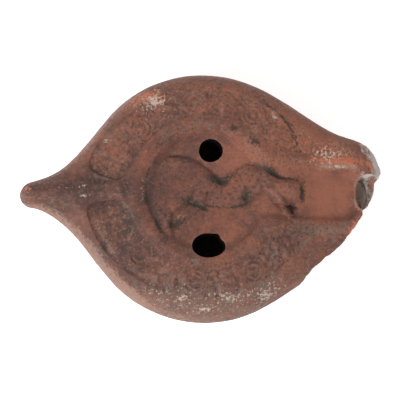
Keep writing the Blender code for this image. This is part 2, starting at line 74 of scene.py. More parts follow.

# %% [markdown]
# ## Floor and light
# The ground is plain and almost white, and its material glows a little, which is painted light. One big
# soft light stands half-way up to the lower left, which is why the wall on that side is bright while the
# far flanks are darker; pale paint on the walls adds painted light. A pale sky fills the shadows.

# %% Floor and light
FLOOR_SIZE = 6.0
KEY_POWER = 15.0
KEY_SIZE = 0.55
KEY_PLACE = Vector((-0.85, -0.62, 1.05))
SKY_STRENGTH = 0.60
FLOOR_GLOW = 0.56


def link(item):
    scene.collection.objects.link(item)
    return item


floor_form = bmesh.new()
bmesh.ops.create_grid(floor_form, x_segments=1, y_segments=1, size=FLOOR_SIZE / 2.0)
floor_mesh = bpy.data.meshes.new("floor")
floor_form.to_mesh(floor_mesh)
floor_form.free()
floor = link(bpy.data.objects.new("floor", floor_mesh))

key_data = bpy.data.lights.new("soft_key", "AREA")
key_data.shape = "DISK"
key_data.size = KEY_SIZE
key_data.energy = KEY_POWER
key = link(bpy.data.objects.new("soft_key", key_data))
key.location = KEY_PLACE
key.rotation_euler = (-KEY_PLACE).to_track_quat("-Z", "Y").to_euler()

sky = bpy.data.worlds.new("pale_sky")
sky.use_nodes = True
sky.node_tree.nodes["Background"].inputs["Color"].default_value = (1.0, 1.0, 1.0, 1.0)
sky.node_tree.nodes["Background"].inputs["Strength"].default_value = SKY_STRENGTH
scene.world = sky
scene.view_settings.view_transform = "Standard"
print("key light", KEY_POWER, "W, sky", SKY_STRENGTH)

# %% [markdown]
# ## Small tools for shaping
# Every outline here is a distance: how far a point lies outside (or, when negative, inside) a
# circle or a bar. A soft minimum joins two of them with a fillet, as a potter's thumb does. Working
# with distances lets one rule press the rim, the ridge and the sunken fields along their outlines.

# %% Distances and curves


def ease(low, high, value):
    share = np.clip((value - low) / (high - low), 0.0, 1.0)
    return share * share * (3.0 - 2.0 * share)


def soft_min(a, b, blend):
    share = np.clip(0.5 + 0.5 * (b - a) / blend, 0.0, 1.0)
    return b * (1.0 - share) + a * share - blend * share * (1.0 - share)


def tapered_bar(x, y, x0, r0, x1, r1):
    share = np.clip((x - x0) / (x1 - x0), 0.0, 1.0)
    sway = HANDLE_TIP_SWAY * (1.0 - share)
    return np.hypot(x - (x0 + share * (x1 - x0)), y + sway) - (r0 + (r1 - r0) * share)


def round_ended(x, y, end_x, half_width, corner):
    across = np.abs(y) - (half_width - corner)
    along = x - (end_x - corner)
    outside = np.hypot(np.maximum(across, 0.0), np.maximum(along, 0.0))
    ahead = outside + np.minimum(np.maximum(across, along), 0.0) - corner
    return np.where(x > 0.0, ahead, np.hypot(x, y) - half_width)


def roll(depth, width):
    share = np.clip(depth / width, 0.0, 1.0)
    return np.sqrt(1.0 - (1.0 - share) ** 2)


def lumps(x, y, z, size, octaves=3):
    """Soft random lumps, from about -1 to 1, with features of the given size in metres."""
    out = np.empty(len(x))
    for index in range(len(x)):
        place = Vector((x[index] / size, y[index] / size, z[index] / size))
        out[index] = noise.fractal(place, 1.0, 2.0, octaves)
    return out


# %% [markdown]
# ## The outline of the lamp
# Seen from above the lamp is a circle with a small pointed handle drawn out on one side and a broad
# nozzle on the other. The hollow inside follows the circle and the nozzle but not the handle, which
# is solid clay.

# %% Plans
BODY_RADIUS = 0.0418
HANDLE_TIP_X = -0.0571
HANDLE_TIP_RADIUS = 0.0042
HANDLE_TIP_SWAY = 0.0009
HANDLE_ROOT_X = -0.0202
HANDLE_ROOT_RADIUS = 0.0097
HANDLE_BLEND = 0.0195
NOZZLE_END_X = 0.0595
NOZZLE_HALF_WIDTH = 0.0185
NOZZLE_ROOT_HALF_WIDTH = 0.0148
NOZZLE_ROOT_X = 0.010
NOZZLE_CORNER = 0.011
NOZZLE_BLEND = 0.0226
DISCUS_RADIUS = 0.0212
CHANNEL_HALF_WIDTH = 0.0096
CHANNEL_END_X = NOZZLE_END_X - 0.0063
RECESS_BLEND = 0.0030
WALL = 0.0042
HOLLOW_NOZZLE_HALF_WIDTH = 0.0084
HOLLOW_NOZZLE_END_X = NOZZLE_END_X - 0.0049
HOLLOW_BLEND = 0.0110


def lamp_plan(x, y):
    body = np.hypot(x, y) - BODY_RADIUS
    handle = tapered_bar(x, y, HANDLE_TIP_X, HANDLE_TIP_RADIUS, HANDLE_ROOT_X, HANDLE_ROOT_RADIUS)
    flare = (NOZZLE_HALF_WIDTH - NOZZLE_ROOT_HALF_WIDTH) / (NOZZLE_END_X - NOZZLE_ROOT_X)
    half_width = NOZZLE_ROOT_HALF_WIDTH + flare * (x - NOZZLE_ROOT_X)
    nozzle = round_ended(x, y, NOZZLE_END_X, half_width, NOZZLE_CORNER)
    return soft_min(soft_min(body, handle, HANDLE_BLEND), nozzle, NOZZLE_BLEND)


def recess_plan(x, y):
    discus = np.hypot(x, y) - DISCUS_RADIUS
    channel = round_ended(x, y, CHANNEL_END_X, CHANNEL_HALF_WIDTH, CHANNEL_HALF_WIDTH * 0.9)
    return soft_min(discus, channel, RECESS_BLEND)


def hollow_plan(x, y):
    body = np.hypot(x, y) - (BODY_RADIUS - WALL)
    corner = HOLLOW_NOZZLE_HALF_WIDTH * 0.7
    nozzle = round_ended(x, y, HOLLOW_NOZZLE_END_X, HOLLOW_NOZZLE_HALF_WIDTH, corner)
    return soft_min(body, nozzle, HOLLOW_BLEND)


# %% [markdown]
# ## Heights of the pressed top and the bowl below
# The widest line, or rim, is where the two mould halves met. Above it the shoulder rolls over to a
# flat top. A rounded ridge runs round the sunken disc and along the channel, and outside it lie two
# slightly sunken fields for stamped patterns.

# %% Heights of the top
RIM_HEIGHT = 0.018
HANDLE_RIM_HEIGHT = 0.0228
NOZZLE_RIM_HEIGHT = 0.0255
SHOULDER_HEIGHT = 0.0315
SHOULDER_FALL = 0.0015
SHOULDER_FALL_FROM = 0.025
SHOULDER_FALL_TO = 0.036
SHOULDER_ROLL = 0.0075
HANDLE_ROLL = 0.0046
NOZZLE_ROLL = 0.0058
HANDLE_BAND_HALF_WIDTH = 0.0037
HANDLE_BAND_RISE = 0.0012
HANDLE_BAND_FROM_X = -0.026
HANDLE_BAND_TO_X = -0.030
HANDLE_TIP_RISE = 0.0004
HANDLE_RISE_FROM_X = -0.036
HANDLE_RISE_TO_X = -0.056
NOZZLE_RISE_FROM_X = 0.006
NOZZLE_RISE_TO_X = 0.054
RECESS_DEPTH = 0.0018
RECESS_WALL = 0.0030
RECESS_EDGE = 0.0001
DISCUS_DISH = 0.0006
RIDGE_RISE = 0.0007
RIDGE_OFFSET = 0.0017
RIDGE_WIDTH = 0.0016
RIDGE_FOOT = 0.0042
FIELD_DEPTH = 0.0003
FIELD_EDGE = 0.0007
FIELD_OUTER_RADIUS = 0.0353
FIELD_HANDLE_GAP = 0.0031
FIELD_HANDLE_REACH = 0.0053
FIELD_CORNER = 0.0040
FIELD_SLANT = 0.36
FIELD_SLANT_FROM_X = -0.0305


def handle_share(x):
    return ease(HANDLE_RISE_FROM_X, HANDLE_RISE_TO_X, x)


def nozzle_share(x):
    return ease(NOZZLE_RISE_FROM_X, NOZZLE_RISE_TO_X, x)


def along_lamp(x, body, handle, nozzle):
    """A size that changes from the round body towards the handle and the nozzle."""
    return body + (handle - body) * handle_share(x) + (nozzle - body) * nozzle_share(x)


def rim_level(x):
    return along_lamp(x, RIM_HEIGHT, HANDLE_RIM_HEIGHT, NOZZLE_RIM_HEIGHT)


def handle_side(x, y):
    bearing = np.arctan2(y, -x)
    return np.exp(-((bearing / 0.42) ** 2)) * ease(0.0, -DISCUS_RADIUS * 0.5, x)


def field_radius(x, y):
    return FIELD_OUTER_RADIUS + FIELD_HANDLE_REACH * np.exp(-((np.arctan2(y, -x) / 0.85) ** 2))


def field_share(x, y):
    ridge_foot = RIDGE_FOOT * (1.0 + 0.35 * handle_side(x, y))
    inside = np.minimum(recess_plan(x, y) - ridge_foot, field_radius(x, y) - np.hypot(x, y))
    slant = FIELD_SLANT * np.maximum(0.0, FIELD_SLANT_FROM_X - x) * np.where(y > 0.0, 1.0, 0.3)
    gap = np.where(x < 0.0, np.abs(y) - FIELD_HANDLE_GAP - slant, 1.0)
    return ease(0.0, FIELD_EDGE, soft_min(inside, gap, FIELD_CORNER))


def top_height(x, y):
    depth = -lamp_plan(x, y)
    radius = np.hypot(x, y)
    offset = recess_plan(x, y)
    width = along_lamp(x, SHOULDER_ROLL, HANDLE_ROLL, NOZZLE_ROLL)
    crown = SHOULDER_HEIGHT - SHOULDER_FALL * ease(SHOULDER_FALL_FROM, SHOULDER_FALL_TO, radius)
    band = ease(HANDLE_BAND_HALF_WIDTH * 1.1, HANDLE_BAND_HALF_WIDTH * 0.25, np.abs(y))
    band = band * ease(HANDLE_BAND_FROM_X, HANDLE_BAND_TO_X, x)
    crown = crown + HANDLE_BAND_RISE * band + HANDLE_TIP_RISE * handle_share(x)
    rim = rim_level(x)
    height = rim + (crown - rim) * roll(depth, width)
    side = handle_side(x, y)
    ridge_width = RIDGE_WIDTH * (1.0 + 0.8 * side)
    ridge_offset = RIDGE_OFFSET * (1.0 + 0.8 * side)
    height = height + RIDGE_RISE * np.exp(-(((offset - ridge_offset) / ridge_width) ** 2))
    floor_share = ease(-RECESS_EDGE, -RECESS_EDGE - RECESS_WALL, offset)
    dish = DISCUS_DISH * ease(DISCUS_RADIUS, DISCUS_RADIUS * 0.3, radius)
    quiet = 1.0 - 0.45 * np.exp(-(((np.arctan2(y, x) + 2.15) / 0.50) ** 2))
    height = height - (RECESS_DEPTH * quiet + dish) * floor_share
    return height - FIELD_DEPTH * (1.0 + 2.4 * ease(-0.010, -0.026, x)) * field_share(x, y)


# %% [markdown]
# The bowl curves in from the rim to the foot. It rises along a keel under the handle and more
# gently under the nozzle, which is how such lamps lift clear of the table at both ends.

# %% Heights of the bowl
UNDER_ROLL = 0.0195
HANDLE_UNDER_ROLL = 0.0055
NOZZLE_UNDER_ROLL = 0.0130
BOWL_BOTTOM = 0.0010
KEEL_RISE = 0.0210
KEEL_FROM_X = -0.024
KEEL_LENGTH = 0.033
KEEL_HALF_WIDTH = 0.022
NOZZLE_UNDER_RISE = 0.0120
NOZZLE_UNDER_FROM_X = 0.024
NOZZLE_UNDER_LENGTH = 0.034


def keel_rise(x):
    return KEEL_RISE * (np.maximum(0.0, KEEL_FROM_X - x) / KEEL_LENGTH) ** 1.3


def front_rise(x):
    share = np.clip((x - NOZZLE_UNDER_FROM_X) / NOZZLE_UNDER_LENGTH, 0.0, 1.2)
    return NOZZLE_UNDER_RISE * share ** 1.2


def bottom_height(x, y):
    width = UNDER_ROLL + (HANDLE_UNDER_ROLL - UNDER_ROLL) * ease(HANDLE_BAND_TO_X, HANDLE_RISE_TO_X, x)
    width = width + (NOZZLE_UNDER_ROLL - UNDER_ROLL) * nozzle_share(x)
    keel = keel_rise(x) * np.exp(-((y / KEEL_HALF_WIDTH) ** 2))
    rim = rim_level(x)
    bottom = np.minimum(BOWL_BOTTOM + keel + front_rise(x), rim - WALL * 0.5)
    return rim - (rim - bottom) * roll(-lamp_plan(x, y), width)


# %% [markdown]
# ## The leaping animal
# A spotted animal was pressed in low relief: a strong haunch, a narrow waist, chest and head, the
# legs stretched under it. Each part is a curve with a width along it. A point's height over the
# disc depends on how far it lies inside that outline, which gives the soft, worn roundness of a
# cast from a tired mould.

# %% The animal
ANIMAL_LENGTH = 0.0528
ANIMAL_RELIEF = 0.0013
ANIMAL_EDGE = 0.0034
ANIMAL_BODY = (
    (-0.38, 0.019, 0.057), (-0.323, 0.044, 0.108), (-0.247, 0.066, 0.152), (-0.158, 0.073, 0.152),
    (-0.076, 0.054, 0.13), (0.006, 0.016, 0.098), (0.089, -0.011, 0.078), (0.158, 0.008, 0.094),
    (0.215, 0.041, 0.113), (0.272, 0.076, 0.106), (0.329, 0.092, 0.087), (0.38, 0.08, 0.068),
    (0.436, 0.052, 0.06), (0.493, 0.032, 0.068), (0.544, 0.028, 0.066), (0.588, 0.028, 0.024),
)
HIND_LEG = (
    (-0.221, 0.019, 0.127), (-0.278, -0.082, 0.089), (-0.272, -0.152, 0.057),
    (-0.259, -0.215, 0.038), (-0.237, -0.266, 0.028),
)
FAR_LEG = ((-0.044, -0.063, 0.042), (-0.120, -0.120, 0.038), (-0.170, -0.150, 0.026))
FORELEG = (
    (0.28, 0.05, 0.044), (0.367, 0.048, 0.04), (0.421, 0.02, 0.036), (0.455, -0.032, 0.032),
    (0.487, -0.085, 0.031), (0.52, -0.134, 0.027),
)


def curve(points, share):
    """A smooth curve through a few points; share runs from 0 at the first to 1 at the last."""
    table = np.array(points)
    place = min(max(share, 0.0), 1.0) * (len(table) - 1)
    index = min(int(place), len(table) - 2)
    part = place - index
    before = table[max(index - 1, 0)]
    start = table[index]
    end = table[index + 1]
    after = table[min(index + 2, len(table) - 1)]
    rise = 2.0 * start + (end - before) * part
    rise = rise + (2.0 * before - 5.0 * start + 4.0 * end - after) * part ** 2
    return 0.5 * (rise + (3.0 * start - before - 3.0 * end + after) * part ** 3)


def outline_gap(x, y, points, steps):
    """Distance to a limb's outline, negative inside."""
    gap = np.full(len(x), 9.0)
    for step in range(steps + 1):
        spot = curve(points, step / steps) * ANIMAL_LENGTH
        gap = np.minimum(gap, np.hypot(x - spot[0], y - spot[1]) - spot[2])
    return gap


def rounded(gap, edge):
    inside = np.clip(-gap / edge, 0.0, 1.0)
    return 1.0 - (1.0 - inside) ** 2


def dot(x, y, at_x, at_y, half_x, half_y, turn=0.0):
    """A soft round patch, 1 in its middle."""
    cosine = math.cos(math.radians(turn))
    sine = math.sin(math.radians(turn))
    along = (x - at_x) * cosine + (y - at_y) * sine
    across = (y - at_y) * cosine - (x - at_x) * sine
    return np.exp(-((along / half_x) ** 2) - (across / half_y) ** 2)


ANIMAL_MARKS = (
    # x, y, half length, half width in millimetres, turn in degrees, rise or fall in millimetres
    (26, 4, 1.5, 0.8, -20, 0.25), (28.6, 2.6, 0.6, 0.5, 0, -0.25),
    (30.4, -0.4, 1.4, 0.4, 10, -0.25), (21.4, 6.9, 2.6, 0.5, -27, -0.45),
    (31.9, 1.6, 0.5, 3.4, 0, -0.4), (13.1, -1.3, 1.3, 1.6, -15, -0.8), (-5.3, -3, 1.4, 1, 0, -0.7),
    (-2.2, -4.8, 3, 0.5, -19, -0.4), (-16.8, -11, 0.6, 1.7, 8, -0.55),
    (-14.9, -14.1, 1.9, 0.5, -50, -0.35), (-10.9, -10.7, 1.6, 1.2, 20, -0.45),
    (4.7, 3.7, 2, 0.9, 0, -0.55), (28.4, -4.1, 1, 0.8, 0, -0.65), (28.2, -6.2, 1.2, 1.8, 0, -0.3),
)


def animal_height(x, y):
    """Height of the figure over the disc, and the gap to its outline."""
    body = outline_gap(x, y, ANIMAL_BODY, 64)
    hind = outline_gap(x, y, HIND_LEG, 26)
    far = outline_gap(x, y, FAR_LEG, 20)
    fore = outline_gap(x, y, FORELEG, 26)
    height = np.maximum(rounded(body, ANIMAL_EDGE), 0.85 * rounded(hind, ANIMAL_EDGE * 0.7))
    height = np.maximum(height, 0.35 * rounded(far, ANIMAL_EDGE * 0.5))
    height = np.maximum(height, 0.75 * rounded(fore, ANIMAL_EDGE * 0.45))
    gap = np.minimum(np.minimum(body, hind), np.minimum(far, fore))
    height = ANIMAL_RELIEF * height
    for *shape, rise in ANIMAL_MARKS:
        height = height + rise * 0.001 * dot(x * 1000.0, y * 1000.0, *shape)
    return height, gap


# %% [markdown]
# ## Spots, stamps and wear
# The coat is dotted with small punch marks. The shoulder carried a row of stamps, ringed circles
# and leaves in turn, which are now rubbed almost flat. The stamps use the same distance rules, and
# slow random lumps decide how much of each one is left.

# %% Spots and stamps
SPOT_PITCH = 0.00235
SPOT_RADIUS = 0.00042
SPOT_DEPTH = 0.00009
STAMP_RADIUS = 0.0038
STAMP_RELIEF = 0.00040
STAMPS_PER_FIELD = 7
STAMPS_FROM = 31.0
STAMPS_TO = 165.0


def coat_spots(x, y):
    row = np.round(y / (SPOT_PITCH * 0.86))
    shift = np.where(np.mod(row, 2.0) > 0.5, 0.5, 0.0)
    column = np.round(x / SPOT_PITCH - shift)
    wander_x = np.sin(row * 12.9 + column * 4.7) * 0.16
    wander_y = np.sin(row * 7.3 - column * 9.1) * 0.16
    centre_x = (column + shift + wander_x) * SPOT_PITCH
    centre_y = (row + wander_y) * SPOT_PITCH * 0.86
    return np.exp(-((np.hypot(x - centre_x, y - centre_y) / SPOT_RADIUS) ** 2))


def ring_line(away, radius, half):
    return np.exp(-(((away - radius) / half) ** 2))


def stamp_height(x, y):
    middle = (DISCUS_RADIUS + RIDGE_FOOT + FIELD_OUTER_RADIUS) * 0.5
    height = np.zeros_like(x)
    for side in (-1.0, 1.0):
        for index in range(STAMPS_PER_FIELD):
            share = (index + 0.5) / STAMPS_PER_FIELD
            angle = side * math.radians(STAMPS_FROM + (STAMPS_TO - STAMPS_FROM) * share)
            over = x - middle * math.cos(angle)
            up = y - middle * math.sin(angle)
            along = (over * math.cos(angle) + up * math.sin(angle)) / STAMP_RADIUS
            across = (up * math.cos(angle) - over * math.sin(angle)) / STAMP_RADIUS
            if index % 2 == 0:
                half = 0.72 * (1.0 + 0.35 * along)
                leaf = np.hypot(along, across / np.maximum(half, 0.2))
                mark = 0.55 * ease(1.0, 0.55, leaf) + 0.60 * ring_line(leaf, 0.95, 0.10)
                mark = mark + 0.50 * np.exp(-((across / 0.10) ** 2)) * ease(0.85, 0.65, np.abs(along))
            else:
                away = np.hypot(along, across)
                mark = ring_line(away, 0.98, 0.10) + ring_line(away, 0.62, 0.10)
                mark = mark + 0.9 * np.exp(-((away / 0.24) ** 2))
            height = np.maximum(height, mark)
    return STAMP_RELIEF * height


# %% [markdown]
# ## Pressing a ball into the lamp
# Clay is pushed into a mould, so the piece is made the same way: a ball with rings and columns is
# pressed ring by ring to the outline and its heights. Rings follow the disc, then the ridge, the
# field, the rolled shoulder, the rim, the bowl and the foot, so no ring cuts across an edge. This
# gives an even mesh that the fine relief can move.

# %% Rings and columns
COLUMNS = 412
FOOT_RADIUS = 0.0220
BASE_RADIUS = 0.0212
GROOVE_RADIUS = 0.0178
GROOVE_WIDTH = 0.0020
GROOVE_DEPTH = 0.0006


def reach(plan, cosine, sine, value):
    low = np.zeros_like(cosine)
    high = np.full_like(cosine, BODY_RADIUS * 1.8)
    for step in range(40):
        middle = (low + high) * 0.5
        inside = plan(middle * cosine, middle * sine) < value
        low = np.where(inside, middle, low)
        high = np.where(inside, high, middle)
    return low


def bearings(count):
    fine = np.linspace(-math.pi, math.pi, 7201)
    size = np.abs(fine)
    weight = 1.0 + 1.9 * np.exp(-(((size - math.pi) / 0.24) ** 2))
    weight = weight + 1.5 * np.exp(-(((size - 0.33) / 0.17) ** 2))
    total = np.concatenate([[0.0], np.cumsum((weight[1:] + weight[:-1]) * 0.5)])
    marks = np.arange(count) * total[-1] / count
    return np.interp(marks, total, fine)


def outer_rings(cosine, sine):
    rings = []
    edge = reach(recess_plan, cosine, sine, -RECESS_EDGE - RECESS_WALL)
    for share in np.linspace(0.0, 1.0, 78)[:-1]:
        rings.append((edge * share, "top"))
    for offset in np.linspace(-RECESS_EDGE - RECESS_WALL, RIDGE_FOOT * 0.92, 17):
        rings.append((reach(recess_plan, cosine, sine, offset), "top"))
    side = handle_side(cosine * DISCUS_RADIUS * 1.3, sine * DISCUS_RADIUS * 1.3)
    inner = reach(recess_plan, cosine, sine, RIDGE_FOOT) + RIDGE_FOOT * 0.35 * side
    outer = np.maximum(field_radius(cosine, sine) + FIELD_EDGE, inner + FIELD_EDGE * 2.4)
    for share in np.linspace(0.0, 1.0, 25):
        rings.append((inner + (outer - inner) * share, "top"))
    spare = np.minimum(-lamp_plan(outer * cosine, outer * sine), SHOULDER_ROLL * 0.8)
    for step in range(1, 14):
        share = 1.0 - math.sin(step / 14.0 * math.pi / 2.0)
        rings.append((reach(lamp_plan, cosine, sine, -spare * share * 0.96 - 0.00002), "top"))
    rings.append((reach(lamp_plan, cosine, sine, 0.0), "rim"))
    under = np.minimum(-lamp_plan(FOOT_RADIUS * cosine, FOOT_RADIUS * sine), UNDER_ROLL)
    for step in range(1, 24):
        share = 1.0 - math.cos(step / 24.0 * math.pi / 2.0)
        rings.append((reach(lamp_plan, cosine, sine, -under * share), "under"))
    rings.append((np.full_like(cosine, FOOT_RADIUS), "under"))
    half = GROOVE_WIDTH * 0.5
    for radius, height in (
        (BASE_RADIUS + 0.0003, 0.00015),
        (BASE_RADIUS, 0.0),
        (GROOVE_RADIUS + half, 0.0),
        (GROOVE_RADIUS + half * 0.6, GROOVE_DEPTH * 0.7),
        (GROOVE_RADIUS, GROOVE_DEPTH),
        (GROOVE_RADIUS - half * 0.6, GROOVE_DEPTH * 0.7),
        (GROOVE_RADIUS - half, 0.0),
        (GROOVE_RADIUS * 0.6, 0.0),
        (GROOVE_RADIUS * 0.3, 0.0),
        (0.0, 0.0),
    ):
        rings.append((np.full_like(cosine, radius), height))
    return rings


# %% [markdown]
# The ball starts as a plain sphere. Every point knows its ring and its column from its place on it,
# and moves to that ring's radius and height. Points that fall together are welded.

# %% Pressing the ball


def press_ball(name, radii, heights, angles):
    form = bmesh.new()
    columns = len(angles)
    last = len(radii) - 1
    bmesh.ops.create_uvsphere(form, u_segments=columns, v_segments=last, radius=1.0)
    for vert in form.verts:
        ring = int(round(math.acos(max(-1.0, min(1.0, vert.co.z))) * last / math.pi))
        turn = math.atan2(vert.co.y, vert.co.x) + math.pi
        column = int(round(turn * columns / (2.0 * math.pi))) % columns
        distance = radii[ring][column]
        vert.co = (
            distance * math.cos(angles[column]),
            distance * math.sin(angles[column]),
            heights[ring][column],
        )
    bmesh.ops.remove_doubles(form, verts=form.verts, dist=0.000001)
    return to_object(name, form)


def to_object(name, form):
    bmesh.ops.recalc_face_normals(form, faces=form.faces)
    if form.calc_volume(signed=True) < 0.0:
        bmesh.ops.reverse_faces(form, faces=form.faces)
    mesh = bpy.data.meshes.new(name)
    form.to_mesh(mesh)
    form.free()
    return link(bpy.data.objects.new(name, mesh))


# %% [markdown]
# ## The pressed form
# The heights get the animal, its spots and the stamps here. The animal is stronger than the
# stamps, because it lay protected in the sunken disc while the shoulder was handled.

# %% The pressed form
FIGURE_REACH = 0.034

angles = bearings(COLUMNS)
cosine = np.cos(angles)
sine = np.sin(angles)
ring_table = outer_rings(cosine, sine)
radii = []
heights = []
for distance, kind in ring_table:
    x = distance * cosine
    y = distance * sine
    if kind == "top":
        height = top_height(x, y)
        if distance.min() < FIGURE_REACH:
            figure, gap = animal_height(x, y)
            inside = ease(0.0, -RECESS_WALL, recess_plan(x, y))
            coat = ease(-0.0004, -0.0012, gap)
            moat = np.exp(-(((gap - 0.0003) / 0.0007) ** 2))
            height = height + inside * (figure - 0.00012 * moat - SPOT_DEPTH * coat * coat_spots(x, y))
        left = 0.30 + 0.70 * ease(-0.25, 0.45, lumps(x, y, x * 0.0, 0.011, 2))
        left = left * (1.0 + 0.6 * ease(-0.010, -0.026, x))
        height = height + stamp_height(x, y) * left * field_share(x, y)
    elif kind == "rim":
        height = rim_level(x)
    elif kind == "under":
        height = bottom_height(x, y)
    else:
        height = np.full_like(x, kind)
    if distance[0] == 0.0:
        height = np.full_like(x, height.mean())
    radii.append(distance)
    heights.append(height)
lamp = press_ball("oil_lamp", radii, heights, angles)
print("pressed form:", len(radii), "rings,", len(lamp.data.vertices), "points")

# %% [markdown]
# ## A surface shaped by hand
# No hand-pressed wall is even. Slow lumps push the skin in and out by a tenth of a millimetre, small
# pits are pressed in, and a faint seam is left along the rim where the halves were joined. The
# foot keeps its flat, so that the lamp stands level.

# %% Unevenness, pits and the seam
LUMP_AMOUNT = 0.00012
GRAIN_AMOUNT = 0.00005
WORN_AMOUNT = 0.00042
SEAM_RISE = 0.00016
SEAM_HALF_WIDTH = 0.0005
PITS = (
    # x, y, size, depth
    (0.0084, 0.0214, 0.0006, 0.0004), (0.015, 0.017, 0.0009, 0.0003),
    (0.0222, 0.0262, 0.0008, 0.0004), (-0.0205, 0.0318, 0.0022, 0.0003),
    (-0.033, 0.0175, 0.0011, 0.0004), (0.04, 0.013, 0.002, 0.0003),
    (0.026, -0.012, 0.0012, 0.0002), (-0.01, -0.03, 0.0014, 0.0002),
)


def points_of(mesh, what):
    values = np.empty(len(mesh.vertices) * 3)
    mesh.vertices.foreach_get(what, values)
    return values.reshape(-1, 3)


spots = points_of(lamp.data, "co")
normals = points_of(lamp.data, "normal")
x, y, z = spots.T
push = LUMP_AMOUNT * lumps(x, y, z, 0.009, 3)
push = push + GRAIN_AMOUNT * lumps(x + 0.3, y, z, 0.0016, 2)
worn = field_share(x, y) * (z > RIM_HEIGHT)
push = push + WORN_AMOUNT * worn * np.abs(lumps(x, y + 0.3, z, 0.0034, 2))
seam_left = ease(-0.2, 0.3, lumps(x, y + 0.2, z, 0.012, 2))
seam = np.exp(-(((z - rim_level(x)) / SEAM_HALF_WIDTH) ** 2)) * (lamp_plan(x, y) > -0.0012)
push = push + SEAM_RISE * seam * seam_left - SEAM_RISE * 0.6
for pit_x, pit_y, pit_size, pit_depth in PITS:
    push = push - pit_depth * dot(x, y, pit_x, pit_y, pit_size, pit_size * 0.7) * (z > RIM_HEIGHT)
push = push * ease(0.0004, 0.0030, z)
spots = spots + normals * push[:, None]
lamp.data.vertices.foreach_set("co", spots.ravel())
lamp.data.update()
print("pushed by", round(push.min() * 1000, 3), "to", round(push.max() * 1000, 3), "mm")

# %% [markdown]
# ## The hollow
# The wall is about four millimetres of clay all round. A second pressed ball, smaller by the wall,
# is taken out of the first.

# %% The hollow
FLOOR_THICKNESS = 0.0035
BASE_THICKNESS = 0.0050
ROOF = SHOULDER_HEIGHT - RECESS_DEPTH - DISCUS_DISH - FLOOR_THICKNESS

hollow_angles = bearings(132)
hollow_cosine = np.cos(hollow_angles)
hollow_sine = np.sin(hollow_angles)
hollow_edge = reach(hollow_plan, hollow_cosine, hollow_sine, 0.0)
above = [math.sin(step / 14.0 * math.pi / 2.0) for step in range(14)]
below = [math.cos(step / 18.0 * math.pi / 2.0) for step in range(1, 18)]
hollow_radii = []
hollow_heights = []
for index, share in enumerate(above + [1.0] + below + [0.0]):
    distance = hollow_edge * share
    x = distance * hollow_cosine
    y = distance * hollow_sine
    depth = -hollow_plan(x, y)
    rim = np.minimum(rim_level(x), ROOF - WALL * 0.6)
    floor_level = np.minimum(BASE_THICKNESS + keel_rise(x) + front_rise(x), rim - WALL)
    if index < len(above):
        height = rim + (ROOF - rim) * roll(depth, SHOULDER_ROLL * 0.7)
    else:
        height = rim - (rim - floor_level) * roll(depth, UNDER_ROLL - WALL)
    if index == len(above):
        height = rim
    if share == 0.0:
        height = np.full_like(x, height[0])
    hollow_radii.append(distance)
    hollow_heights.append(height)
hollow = press_ball("hollow", hollow_radii, hollow_heights, hollow_angles)
print("hollow:", len(hollow.data.vertices), "points")

# %% [markdown]
# ## Holes pushed through by hand
# Two filling holes go through the disc, one neat and round, one torn to a wider oval with a corner.
# A third, for the wick, goes through the end of the channel. A stick leaves a slightly wavering,
# rounded edge, so each plug is a column whose outline wanders and which flares at the surface.

# %% Plugs for the holes
DISC_LEVEL = SHOULDER_HEIGHT - RECESS_DEPTH - DISCUS_DISH * 0.7
CORNER_BEARING = 1.05
DENT_BEARING = 0.58
CORNER_SPREAD = 0.24


def plug(name, at_x, at_y, half_x, half_y, low, level, waver, corner):
    form = bmesh.new()
    steps = (
        (low, 0.0),
        (level - 0.0016, 0.0),
        (level - 0.0009, 0.00001),
        (level - 0.0005, 0.00004),
        (level - 0.0002, 0.00012),
        (level + 0.0003, 0.00034),
        (SHOULDER_HEIGHT + 0.0030, 0.0006),
    )
    bmesh.ops.create_cone(form, cap_ends=True, segments=88, radius1=1.0, radius2=1.0, depth=2.0)
    walls = [edge for edge in form.edges if abs(edge.verts[0].co.z - edge.verts[1].co.z) > 1.0]
    bmesh.ops.subdivide_edges(form, edges=walls, cuts=len(steps) - 2, use_grid_fill=True)
    for vert in form.verts:
        height, flare = steps[int(round((vert.co.z + 1.0) * 0.5 * (len(steps) - 1)))]
        angle = math.atan2(vert.co.y, vert.co.x)
        wave = 1.0 + waver * (math.sin(2.0 * angle + 0.7) + 0.6 * math.sin(3.0 * angle + 2.1))
        wave = wave + waver * 0.35 * noise.noise(Vector((angle * 5.0, at_x * 900.0, height * 300.0)))
        wave = wave + corner * math.exp(-(((angle - CORNER_BEARING) / CORNER_SPREAD) ** 2))
        wave = wave - corner * 0.6 * math.exp(-(((angle - DENT_BEARING) / CORNER_SPREAD) ** 2))
        vert.co = (
            at_x + (half_x * wave + flare) * math.cos(angle),
            at_y + (half_y * wave + flare) * math.sin(angle),
            height,
        )
    return to_object(name, form)


upper_hole = plug("upper_hole", 0.0012, 0.0140, 0.0037, 0.0037, ROOF - WALL, DISC_LEVEL, 0.022, 0.0)
lower_hole = plug("lower_hole", 0.0004, -0.0178, 0.0051, 0.0039, ROOF - WALL, DISC_LEVEL, 0.026, 0.13)
wick_hole = plug("wick_hole", 0.0523, 0.0010, 0.0025, 0.0056, ROOF - WALL * 1.2, DISC_LEVEL, 0.02, 0.0)
print("holes:", [len(item.data.vertices) for item in (upper_hole, lower_hole, wick_hole)])

# %% [markdown]
# ## The break
# The end of the nozzle is lost. Fired clay breaks along rough, slightly curved faces, so each break
# is a fine sheet, bent to the line of the break and roughened with random lumps, then pushed
# outwards into a solid that is taken away.

